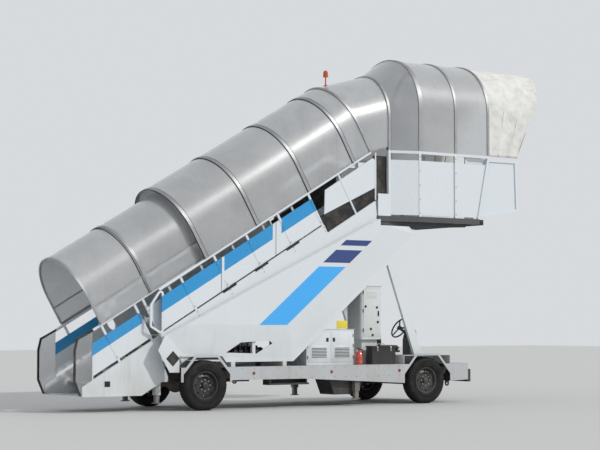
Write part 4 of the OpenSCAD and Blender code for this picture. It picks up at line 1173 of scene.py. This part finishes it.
@dataclass
class EngineHousing:
    """Doors, hinges, latches and a blank plate on the engine's housing."""

    doors: tuple[Span, ...] = ((-0.462, 0.016), (0.034, 0.512))
    face: float = -0.840
    low: float = 0.765
    high: float = 1.300
    inset: float = 0.06
    vent: Span = (0.07, 0.30)
    lid: tuple[Span, ...] = ((-0.500, 0.550), (-0.850, 0.350), (1.3445, 1.352))
    latches: Span = (-0.045, 0.095)
    latch_plate: Span = (1.13, 1.20)
    latch_knob: Span = (1.145, 1.185)
    hinges: Span = (-0.468, 0.518)
    hinge_heights: tuple[float, ...] = (0.83, 1.03, 1.21)
    hinge: Span = (0.007, 0.055)
    slat_low: float = 0.095
    slat_pitch: float = 0.026
    slat_count: int = 7
    slat: Point = (0.32, 0.010, 0.010)
    slat_turn: Point = (math.radians(-32.0), 0.0, 0.0)
    plate: tuple[Span, ...] = ((0.18, 0.42), (-0.812, -0.808), (1.365, 1.500))
    plate_feet: Span = (0.21, 0.39)
    plate_foot: tuple[Span, ...] = ((-0.8085, -0.800), (1.345, 1.480))

    def build(self, shop: Workshop) -> None:
        """Makes the housing's trim."""
        face, low = self.face, self.low
        panels = Mesher()
        for left, right in self.doors:
            panels.slab((left, right), (face - 0.005, face + 0.001), (low, self.high), FINE_EDGE)
            panels.slab((left + self.inset, right - self.inset), (face - 0.008, face - 0.003),
                        (low + self.vent[0], low + self.vent[1]), FINE_EDGE)
        panels.slab(*self.lid, SOFT_EDGE)
        panels.give("housing_doors", WHITE_PAINT, "white_paint")
        vents = [Vector((sum(door) / 2, face - 0.008, low + self.slat_low + self.slat_pitch * k))
                 for door in self.doors for k in range(self.slat_count)]
        shop.rows("housing_slats", vents, self.slat, BLACK_PAINT, "black_paint", turn=self.slat_turn)
        fittings = Mesher()
        for x in self.latches:
            fittings.slab(about(x, 0.026), (face - 0.009, face - 0.004), self.latch_plate, FINE_EDGE)
            fittings.slab(about(x, 0.008), (face - 0.016, face - 0.008), self.latch_knob, FINE_EDGE)
        for x in self.hinges:
            for z in self.hinge_heights:
                fittings.disc((x, face - 0.006, z), Axis.Z, *self.hinge, sides=12)
        fittings.give("housing_fittings", BLACK_PLASTIC, "black_plastic")
        plate = Mesher()
        plate.slab(*self.plate, 0.0015)
        for x in self.plate_feet:
            plate.slab(about(x, 0.012), *self.plate_foot, 0.001)
        plate.give("blank_plate", YELLOW_PAINT, "white_paint")


@dataclass
class CabinetTrim:
    """Door, handle, knobs and louvres of the control cabinet."""

    face: float = -0.760
    door: tuple[Span, ...] = ((0.812, 1.173), (-0.765, -0.759), (1.215, 2.070))
    lid: tuple[Span, ...] = ((0.750, 1.235), (-0.770, -0.290), (2.119, 2.134))
    knobs: tuple[Span, ...] = ((0.855, 1.757), (1.110, 1.740), (1.130, 1.477), (0.973, 1.353), (1.012, 1.244))
    lock_plate: tuple[Span, ...] = ((1.128, 1.152), (1.58, 1.68))
    lock_bar: tuple[Span, ...] = ((1.134, 1.146), (1.60, 1.66))
    hinge_x: float = 0.806
    hinge_heights: tuple[float, ...] = (1.30, 1.65, 1.98)
    hinge: Span = (0.007, 0.06)
    louvre: Span = (0.993, 1.90)
    louvre_pitch: float = 0.022
    louvre_count: int = 6
    slat: Point = (0.22, 0.008, 0.009)
    slat_turn: Point = (math.radians(-30.0), 0.0, 0.0)

    def build(self, shop: Workshop) -> None:
        """Makes the cabinet's trim."""
        face = self.face
        leaf = Mesher()
        leaf.slab(*self.door, FINE_EDGE)
        leaf.slab(*self.lid, 0.004)
        leaf.give("cabinet_door", CABINET_PAINT, "cabinet_paint")
        dark = Mesher()
        for x, z in self.knobs:
            dark.disc((x, face - 0.004, z), Axis.Y, 0.024, -0.008, 0.022)
            dark.disc((x, face - 0.012, z), Axis.Y, 0.014, -0.014, 0.011)
        for (wide, high), (out, inward) in ((self.lock_plate, (0.014, 0.004)),
                                            (self.lock_bar, (0.026, 0.012))):
            dark.slab(wide, (face - out, face - inward), high, SOFT_EDGE)
        for z in self.hinge_heights:
            dark.disc((self.hinge_x, face - 0.006, z), Axis.Z, *self.hinge, sides=12)
        dark.give("cabinet_fittings", BLACK_PLASTIC, "black_plastic")
        x, z = self.louvre
        slots = [Vector((x, face - 0.006, z + self.louvre_pitch * k)) for k in range(self.louvre_count)]
        shop.rows("cabinet_louvres", slots, self.slat, CABINET_PAINT, "cabinet_paint", turn=self.slat_turn)


@dataclass
class DeckFittings:
    """What stands on the deck and below it, from the extinguisher's head to the steps' grips."""

    bottle: Point = (0.620, -0.885, 0.720)
    hose: tuple[Span, ...] = ((0.038, 0.272), (0.070, 0.262), (0.082, 0.230), (0.078, 0.170),
                              (0.074, 0.110), (0.073, 0.060))
    hose_radius: float = 0.009
    strap: float = 0.0655
    strap_heights: Span = (0.055, 0.150)
    catches: Span = (0.960, 1.260)
    battery_grip: tuple[Span, ...] = ((1.03, 0.0), (1.03, 0.026), (1.045, 0.036), (1.175, 0.036),
                                      (1.19, 0.026), (1.19, 0.0))
    cylinder: tuple[Point, Point] = ((-2.640, 0.0, 0.850), (-0.402, 0.0, 2.203))
    pipe_radius: float = 0.0075
    pipe_below: float = 0.068
    pipe_gap: float = 0.022
    valves_at: Span = (-1.92, 0.11)
    valve_count: int = 5
    clamps: tuple[Point, ...] = ((0.15, 0.058, 0.006), (0.45, 0.058, 0.006), (0.75, 0.058, 0.006),
                                 (0.965, 0.056, 0.013), (0.992, 0.050, 0.010))
    bolt_at: Span = (-1.95, 1.052)
    bolt_heights: Span = (0.525, 0.695)
    bolt_pitch: float = 0.24
    bolt_count: int = 15
    skirt_bolt: tuple[float, float, int] = (0.009, 0.008, 12)
    rib_at: Point = (-1.0, 0.875, 0.4305)
    rib_pitch: float = 0.030
    rib_count: int = 7
    step_rib: Point = (0.78, 0.010, 0.006)

    def build(self, shop: Workshop) -> None:
        """Makes the fittings."""
        self.extinguisher()
        self.battery()
        self.pipes()
        self.valves()
        first, face = self.bolt_at
        x, y, z = self.rib_at
        for side in Side:
            sign = side.value
            rows = [Vector((first + self.bolt_pitch * k, sign * face, up))
                    for k in range(self.bolt_count) for up in self.bolt_heights]
            shop.heads(f"skirt_bolts_{side.label}", rows, self.skirt_bolt, side, "white_paint")
            ribs = [Vector((x, sign * (y + self.rib_pitch * k), z)) for k in range(self.rib_count)]
            shop.rows(f"step_grips_{side.label}", ribs, self.step_rib, BLACK_RUBBER, "black_rubber")

    def extinguisher(self) -> None:
        """Makes the extinguisher's head, hose, straps and back plate."""
        x, y, z = self.bottle
        head = Mesher()
        head.disc((x, y, z + 0.258), Axis.Z, 0.021, 0.026, 0.017)
        head.slab((x - 0.072, x + 0.022), about(y, 0.009), (z + 0.284, z + 0.292), FINE_EDGE)
        head.slab((x - 0.066, x + 0.010), about(y, 0.008), (z + 0.302, z + 0.308), FINE_EDGE)
        head.disc((x + 0.018, y, z + 0.272), Axis.X, 0.012, 0.020, sides=16)
        head.tube([Vector((x + run, y, z + up)) for run, up in self.hose], self.hose_radius, 10)
        head.disc((x + 0.073, y, z + 0.062), Axis.Z, 0.009, -0.045, 0.014, sides=16)
        head.give("extinguisher_head", BLACK_PLASTIC, "black_plastic")
        bands = Mesher()
        for height in self.strap_heights:
            ring = [Vector((x + self.strap * math.cos(a), y + self.strap * math.sin(a), z + height))
                    for a in round_turn(40)]
            bands.tube(ring, 0.004, 8, closed=True)
        bands.slab(about(x, 0.030), (y + 0.062, y + 0.070), (z + 0.0005, z + 0.250), FINE_EDGE)
        bands.give("extinguisher_bracket", BOLT_ZINC, "black_plastic")

    def battery(self) -> None:
        """Makes the battery lid's catches and grip."""
        metal = Mesher()
        for x in self.catches:
            metal.slab(about(x, 0.014), (-0.985, -0.969), (0.955, 1.040), SOFT_EDGE)
            metal.slab(about(x, 0.008), (-0.992, -0.983), (0.985, 1.030), SOFT_EDGE)
        metal.tube([Vector((run, -0.880, 1.049 + up)) for run, up in self.battery_grip], 0.007, 10)
        metal.give("battery_catches", BOLT_ZINC, "tank_paint")

    def pipes(self) -> None:
        """Makes the pipes along the lift cylinder, their clamps and its gland."""
        foot, top = (Vector(end) for end in self.cylinder)
        ahead = (top - foot).normalized()
        below = Vector((ahead.z, 0.0, -ahead.x))
        side = Vector((0.0, 1.0, 0.0))
        run = (top - foot).length
        metal = Mesher()
        for away in (0.0, self.pipe_gap):
            stand = below * self.pipe_below + side * away
            shares = (0.10, 0.45, 0.93 - 4 * away)
            metal.tube([foot + stand + ahead * share * run for share in shares], self.pipe_radius, 10)
        for share, radius, thick in self.clamps:
            ring = [foot + ahead * share * run + (side * math.cos(a) + below * math.sin(a)) * radius
                    for a in round_turn(36)]
            metal.tube(ring, thick, 8, closed=True)
        metal.give("cylinder_pipes", BOLT_ZINC, "cylinder_paint")

    def valves(self) -> None:
        """Makes the valve block behind the right frame's opening, with its pipes; its black paint is partly
        painted shade for the dark inside of the opening.
        """
        block = Mesher()
        block.slab((-1.98, -1.42), (-0.700, -0.560), (0.885, 1.060), 0.008)
        block.slab((-2.060, -1.340), (-0.720, -0.540), (0.860, 0.885), 0.004)
        for x in (-2.040, -1.360):
            block.slab(about(x, 0.020), (-0.700, -0.560), (DECK_Z, 0.862), SOFT_EDGE)
        start, pitch = self.valves_at
        for k in range(self.valve_count):
            x = start + pitch * k
            block.slab(about(x, 0.038), (-0.790, -0.698), (0.915, 1.000), 0.006)
            block.disc((x, -0.745, 1.000), Axis.Z, 0.026, 0.075, sides=20)
            bend = [(x, -0.630, 1.050), (x, -0.630, 1.120), (x + 0.030, -0.625, 1.150),
                    (x + 0.20, -0.600, 1.165), (-1.250, -0.560, 1.170 + 0.012 * k)]
            block.tube([Vector(place) for place in bend], 0.008, 10)
        block.disc((-1.30, -0.62, 0.970), Axis.X, 0.075, -0.120, 0.075, 32)
        block.give("valve_block", BLACK_PAINT, "black_paint")


@dataclass
class Lamps:
    """Head lamps and indicators ahead, red lamps at the back and amber markers at the sides."""

    front_x: float = 3.060
    head: Point = (0.760, 0.500, 0.078)
    turn: Point = (0.930, 0.500, 0.048)
    tail: Point = (-3.048, 0.740, 0.655)
    tail_radius: float = 0.034
    markers: tuple[float, ...] = (-1.72, -0.10, 1.40)
    marker: Point = (1.0495, 0.610, 0.022)
    dome: tuple[Point, ...] = ((1.0, 0.94, 0.0), (0.94, 0.75, 0.006), (0.75, 0.40, 0.012))

    def lamp(self, name: str, centre: Point, axis: Axis, sign: int, radius: float, lens: Finish) -> None:
        """Makes a round lamp: its bezel and a domed lens.

        Args:
            name: What its pieces' names end with.
            centre: Where its back stands.
            axis: Axis that it faces along.
            sign: Which way along the axis.
            radius: Radius of the lens.
            lens: Finish of the lens.
        """
        bezel = Mesher()
        bezel.disc(centre, axis, radius * 1.16, sign * 0.012, radius * 1.10, 40)
        bezel.give("bezel_" + name, BLACK_PLASTIC, "black_plastic")
        glass = Mesher()
        outwards = Vector([float(axis is other) for other in Axis]) * sign
        start = Vector(centre) + outwards * 0.010
        for wide, narrow, deep in self.dome:
            place = tuple(start + outwards * deep)
            glass.disc(place, axis, radius * wide, sign * 0.006, radius * narrow, 40)
        glass.give("lens_" + name, lens, "beacon_amber")

    def build(self) -> None:
        """Makes all the lamps."""
        for side in Side:
            sign = side.value
            for kind, lamp, lens in (("head", self.head, CLEAR_LENS), ("turn", self.turn, AMBER_LENS)):
                place = (self.front_x - 0.001, sign * lamp[0], lamp[1])
                self.lamp(f"{kind}_{side.label}", place, Axis.X, 1, lamp[2], lens)
            x, y, z = self.tail
            self.lamp(f"tail_{side.label}", (x, sign * y, z), Axis.X, -1, self.tail_radius, RED_LENS)
            bracket = Mesher()
            bracket.slab((-3.0495, -3.042), about(sign * y, 0.045), (0.605, 0.7105), FINE_EDGE)
            bracket.give("lamp_bracket_" + side.label, BLACK_PAINT, "black_paint")
            y, z, radius = self.marker
            for k, x in enumerate(self.markers):
                self.lamp(f"marker_{side.label}_{k}", (x, sign * y, z), Axis.Y, sign, radius, AMBER_LENS)


@dataclass
class Pad:
    """A stuffed seat pad: its block's size, place and lean."""

    name: str
    size: Point
    centre: Point
    lean: float
    cap: float = 0.012

    def place(self) -> Matrix:
        """Gives the move and turn from the origin to the pad's place."""
        return Matrix.Translation(self.centre) @ Matrix.Rotation(math.radians(self.lean), 4, "Y")


@dataclass
class DriverPlace:
    """The seat's frame and pads, and the desk's dials and levers."""

    pads: tuple[Pad, ...] = (
        Pad("seat_cushion", (0.455, 0.445, 0.070), (1.575, -0.340, 1.008), 0.0),
        Pad("seat_back", (0.066, 0.425, 0.530), (1.332, -0.340, 1.318), -6.0),
    )
    voxel: float = 0.006
    quick_voxel: float = 0.008
    pressure: float = 4.0
    frames: int = 20
    fill: float = 0.7
    corner: float = 0.058
    seam: float = 0.006
    dials: tuple[float, ...] = (-0.405, -0.340, -0.275)
    levers: tuple[Span, ...] = ((-0.428, 0.12), (-0.252, 0.15))

    def form(self, pad: Pad) -> bpy.types.Object:
        """Makes a pad's closed form before it is stuffed."""
        maker = bmesh.new()
        bmesh.ops.create_cube(maker, size=1.0)
        bmesh.ops.transform(maker, matrix=Matrix.Diagonal((*pad.size, 1.0)), verts=maker.verts)
        short = min(pad.size)
        uprights = [edge for edge in maker.edges
                    if abs((edge.verts[0].co - edge.verts[1].co).length - short) < 1e-6]
        bmesh.ops.bevel(maker, geom=uprights, offset=0.055, segments=5, profile=0.5, affect="EDGES")
        bmesh.ops.bevel(maker, geom=[edge for edge in maker.edges if edge.calc_face_angle(0.0) > 1.0],
                        offset=short * 0.30, segments=3, profile=0.5, affect="EDGES")
        bmesh.ops.recalc_face_normals(maker, faces=maker.faces)
        mesh = bpy.data.meshes.new(pad.name)
        maker.to_mesh(mesh)
        maker.free()
        return in_scene(pad.name, mesh)

    def stuff(self, piece: bpy.types.Object, pad: Pad) -> None:
        """Swells a pad by cloth under pressure and keeps the result, capped."""
        remesh = piece.modifiers.new("voxels", "REMESH")
        remesh.mode = "VOXEL"
        remesh.voxel_size = self.voxel
        dense = bake(piece)
        rest = [vert.co.copy() for vert in dense.vertices]
        cloth = piece.modifiers.new("cloth", "CLOTH")
        cloth.settings.use_pressure = True
        cloth.settings.uniform_pressure_force = self.pressure
        cloth.settings.effector_weights.gravity = 0.0
        for frame_number in range(1, self.frames + 1):
            bpy.context.scene.frame_set(frame_number)
        swollen = bake(piece)
        bpy.context.scene.frame_set(1)
        for vert, start in zip(swollen.vertices, rest):
            step = vert.co - start
            if step.length > pad.cap:
                vert.co = start + step * (pad.cap / step.length)
        piece.modifiers.new("finer", "SUBSURF").levels = 1
        smooth = bake(piece)
        smooth.transform(pad.place())
        smooth.shade_smooth()

    def piping(self, pad: Pad) -> None:
        """Makes the piped seam round a pad's middle."""
        thin = pad.size.index(min(pad.size))
        wide, high = (axis for axis in range(3) if axis != thin)
        path = []
        for sx, sy, start in ((1, 1, 0.0), (-1, 1, 0.5), (-1, -1, 1.0), (1, -1, 1.5)):
            for k in range(7):
                angle = math.pi * (start + k / 12.0)
                here = Vector((0.0, 0.0, 0.0))
                for axis, sign, turn in ((wide, sx, math.cos(angle)), (high, sy, math.sin(angle))):
                    here[axis] = sign * (pad.size[axis] / 2 + self.seam - self.corner) + self.corner * turn
                path.append(pad.place() @ here)
        welt = Mesher()
        welt.tube(path, 0.0045, 8, closed=True)
        welt.give(pad.name + "_piping", SEAT_VINYL, "seat_vinyl")

    def build(self) -> None:
        """Makes the driver's place."""
        base = Mesher()
        base.slab((1.405, 1.685), (-0.490, -0.190), (DECK_Z, 0.930), 0.006)
        base.slab((1.350, 1.800), (-0.555, -0.125), (0.925, 0.966), 0.010)
        lean = Matrix.Translation((1.315, 0.0, 1.040)) @ Matrix.Rotation(math.radians(-6.0), 4, "Y")
        base.slab((-0.022, -0.004), (-0.540, -0.140), (-0.060, 0.520), 0.008, lean)
        for y in (-0.500, -0.192):
            base.slab((-0.030, 0.070), (y, y + 0.012), (-0.100, 0.060), 0.003, lean)
        base.give("seat_base", BLACK_PAINT, "seat_vinyl", Body.CHASSIS, "driver_seat")
        for pad in self.pads:
            piece = self.form(pad)
            self.stuff(piece, pad)
            hand_over(piece, SEAT_VINYL, "seat_vinyl")
            self.piping(pad)
        self.desk()

    def desk(self) -> None:
        """Makes the dials and levers of the driver's desk."""
        dials = Mesher()
        for y in self.dials:
            for radius, depth in ((0.027, 0.006), (0.022, 0.009)):
                dials.disc((-0.001, y, 0.0), Axis.X, radius, -depth, radius * 0.94, 28)
        tilt = Matrix.Translation((2.130, 0.0, 1.220)) @ Matrix.Rotation(math.radians(15.9), 4, "Y")
        bmesh.ops.transform(dials.bm, matrix=tilt, verts=dials.bm.verts)
        dials.give("desk_dials", BLACK_PLASTIC, "desk_plastic")
        sticks = Mesher()
        for y, reach in self.levers:
            foot = Vector((2.190, y, 1.300))
            path = [foot, foot + Vector((-0.030, 0.0, reach * 0.5)), foot + Vector((-0.055, 0.0, reach))]
            sticks.tube(path, 0.006, 10)
            knob = foot + Vector((-0.055, 0.0, reach - 0.004))
            sticks.disc(tuple(knob), Axis.Z, 0.015, 0.030, 0.019, 16)
        sticks.give("desk_levers", BLACK_PLASTIC, "black_plastic")


@dataclass
class FrontHood:
    """The fabric hood ahead of the platform, hung over bows and cut back to the aircraft's skin."""

    start_x: float = AXLE_X + 1.55
    foot_z: float = 4.600
    half: float = 0.972
    height: float = 1.785
    steps: int = 88
    lengths: int = 44
    front: tuple[Span, ...] = ((4.600, 2.27), (4.94, 2.43), (5.34, 2.60), (5.64, 2.80), (6.25, 3.045))
    bows: tuple[float, ...] = (0.0, 0.36, 0.70, 1.0)
    bow_radius: float = 0.011
    bow_inset: float = 0.016
    sag: Span = (0.028, 0.010)
    fold: float = 0.0065
    thickness: float = 0.004
    seed: int = 11

    def crown(self) -> float:
        """Gives the height at which the arch's round part starts."""
        return self.foot_z + self.height - self.half

    def girth(self) -> float:
        """Gives the arch's length from foot to foot."""
        return 2 * (self.height - self.half) + math.pi * self.half

    def front_x(self, z: float) -> float:
        """Gives the X of the front edge at a height."""
        for (low, first), (high, second) in zip(self.front, self.front[1:]):
            if z <= high:
                return AXLE_X + first + (second - first) * (z - low) / (high - low)
        return AXLE_X + self.front[-1][1]

    def outline(self, share: float) -> Span:
        """Gives Y and Z of the arch at a share of its girth, from right foot to left foot."""
        straight = self.height - self.half
        girth = self.girth()
        run = share * girth
        if run < straight:
            return -self.half, self.foot_z + run
        if run > girth - straight:
            return self.half, self.foot_z + girth - run
        angle = (run - straight) / self.half
        return -self.half * math.cos(angle), self.foot_z + straight + self.half * math.sin(angle)

    def depth(self, share: float, t: float, phases: list[float]) -> float:
        """Gives how far the fabric hangs inwards.

        Args:
            share: Place round the arch, from 0 to 1.
            t: Place along the hood, from 0 to 1.
            phases: Where each gap's sag and each set of folds starts.

        Returns:
            The depth in metres.
        """
        gap = next(k for k in range(3) if t <= self.bows[k + 1])
        local = (t - self.bows[gap]) / (self.bows[gap + 1] - self.bows[gap])
        sag = 4 * local * (1 - local)
        folds = 0.0
        for k in range(4):
            waves = 17.0 + 13.0 * k
            lean = 2.0 + 1.5 * k
            folds += math.sin(waves * share * math.pi + lean * t * 4 + phases[4 + k]) / (k + 1.4)
        deep = sag * (self.sag[0] + self.sag[1] * math.sin(9.0 * share * math.pi + phases[gap]))
        deep += self.fold * sag * folds + 0.003
        return deep

    def fabric(self) -> bpy.types.Mesh:
        """Makes the fabric's mesh, with its sag and folds and a UV map."""
        rng = random.Random(self.seed)
        phases = [rng.uniform(0.0, 2 * math.pi) for _ in range(12)]
        maker = bmesh.new()
        uv_layer = maker.loops.layers.uv.new("UVMap")
        grid = []
        uvs = {}
        for i in range(self.steps + 1):
            share = i / self.steps
            y, z = self.outline(share)
            reach = self.front_x(z) - self.start_x
            inward = Vector((0.0, -y, self.crown() - z if z >= self.crown() else 0.0)).normalized()
            row = []
            for j in range(self.lengths + 1):
                t = j / self.lengths
                place = Vector((self.start_x + reach * t, y, z)) + inward * self.depth(share, t, phases)
                vert = maker.verts.new(place)
                uvs[vert] = (share * 5.0, t * 1.2)
                row.append(vert)
            grid.append(row)
        for i in range(self.steps):
            for j in range(self.lengths):
                face = maker.faces.new((grid[i][j], grid[i + 1][j], grid[i + 1][j + 1], grid[i][j + 1]))
                for loop in face.loops:
                    loop[uv_layer].uv = uvs[loop.vert]
        bmesh.ops.recalc_face_normals(maker, faces=maker.faces)
        mesh = bpy.data.meshes.new("front_hood_cloth")
        maker.to_mesh(mesh)
        maker.free()
        mesh.shade_smooth()
        return mesh

    def build(self) -> None:
        """Makes the fabric and the bows inside it."""
        mesh = self.fabric()
        cloth = in_scene("front_hood_cloth", mesh)
        thick = cloth.modifiers.new("thickness", "SOLIDIFY")
        thick.thickness = self.thickness
        thick.offset = 0.0
        hand_over(cloth, HOOD_FABRIC, "hood_fabric", Body.UPPER, "front_hood")
        frames = Mesher()
        crown = self.crown()
        scale = (self.half - self.bow_inset) / self.half
        for t in self.bows[1:]:
            path = []
            for i in range(0, self.steps + 1, 2):
                y, z = self.outline(i / self.steps)
                reach = self.front_x(z) - self.start_x
                high = crown + (z - crown) * scale if z > crown else z
                path.append(Vector((self.start_x + reach * t - 0.01, y * scale, high)))
            frames.tube(path, self.bow_radius, 10)
        frames.give("front_hood_bows", HOOP_METAL, "hoop_metal", Body.UPPER)


@dataclass
class Camera:
    """The camera, at the photograph's place beside the machine."""

    place: Point = (-17.80, -25.80, 1.457)
    target: Point = (-0.05, 0.0, 3.23)
    lens: float = 104.0
    sensor: float = 36.0
    reach: float = 200.0

    def build(self) -> None:
        """Makes the scene's camera."""
        data = bpy.data.cameras.new("camera")
        data.lens = self.lens
        data.sensor_width = self.sensor
        data.clip_end = self.reach
        camera = in_scene("camera", data)
        camera.location = self.place
        aim = Vector(self.target) - Vector(self.place)
        camera.rotation_euler = aim.to_track_quat("-Z", "Y").to_euler()
        bpy.context.scene.camera = camera


@dataclass
class Studio:
    """The plain pale floor, the sky's soft light and the sun."""

    floor_half: float = 60.0
    floor_colour: Colour = (0.54, 0.54, 0.53)
    floor_roughness: float = 0.85
    sky: Colour = (0.91, 0.935, 0.97)
    sky_strength: float = 0.75
    sun_strength: float = 1.75
    sun_colour: Colour = (1.0, 0.975, 0.94)
    sun_angle: float = math.radians(2.5)
    sun_beam: Point = (-0.412, 0.696, -0.590)

    def build(self) -> None:
        """Makes the floor, the world and the sun."""
        scene = bpy.context.scene
        scene.view_settings.view_transform = "Standard"
        world = bpy.data.worlds.new("studio")
        scene.world = world
        world.use_nodes = True
        back = world.node_tree.nodes["Background"]
        back.inputs["Color"].default_value = (*self.sky, 1.0)
        back.inputs["Strength"].default_value = self.sky_strength
        half = self.floor_half
        mesh = bpy.data.meshes.new("floor")
        mesh.from_pydata([(-half, -half, 0.0), (half, -half, 0.0), (half, half, 0.0), (-half, half, 0.0)], [],
                         [(0, 1, 2, 3)])
        mesh.materials.append(Finish("studio_floor", self.floor_colour, self.floor_roughness).material())
        in_scene("floor", mesh)
        sun = bpy.data.lights.new("sun", "SUN")
        sun.energy = self.sun_strength
        sun.angle = self.sun_angle
        sun.color = self.sun_colour
        beam = in_scene("sun", sun)
        beam.rotation_euler = Vector(self.sun_beam).to_track_quat("-Z", "Y").to_euler()


def dress_frame(frame: dict) -> None:
    """Gives each node of the frame that stays its finish.

    Args:
        frame: What the frame's loader returned.
    """
    for finish, names in NODE_FINISHES:
        for name in names.split():
            for slot in frame["nodes"][name].material_slots:
                slot.material = finish.material()


def wheels() -> list[Wheel]:
    """Gives the four wheels."""
    return [Wheel(f"{end}_{side.label}", (x, side.value * WHEEL_Y, WHEEL_Z), side)
            for end, x in (("front", AXLE_X), ("rear", REAR_AXLE_X)) for side in Side]


def main() -> None:
    """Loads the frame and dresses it."""
    logging.basicConfig(level=logging.INFO, format="%(message)s")
    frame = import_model()
    Camera().build()
    Studio().build()
    dress_frame(frame)
    shop = Workshop()
    trims = (CanopyTrim(), FlightTrim(), PlatformTrim(), EngineHousing(), CabinetTrim(), DeckFittings())
    for assembly in (*wheels(), *trims):
        assembly.build(shop)
    for assembly in (Lamps(), DriverPlace(), FrontHood()):
        assembly.build()


if __name__ == "__main__":
    main()
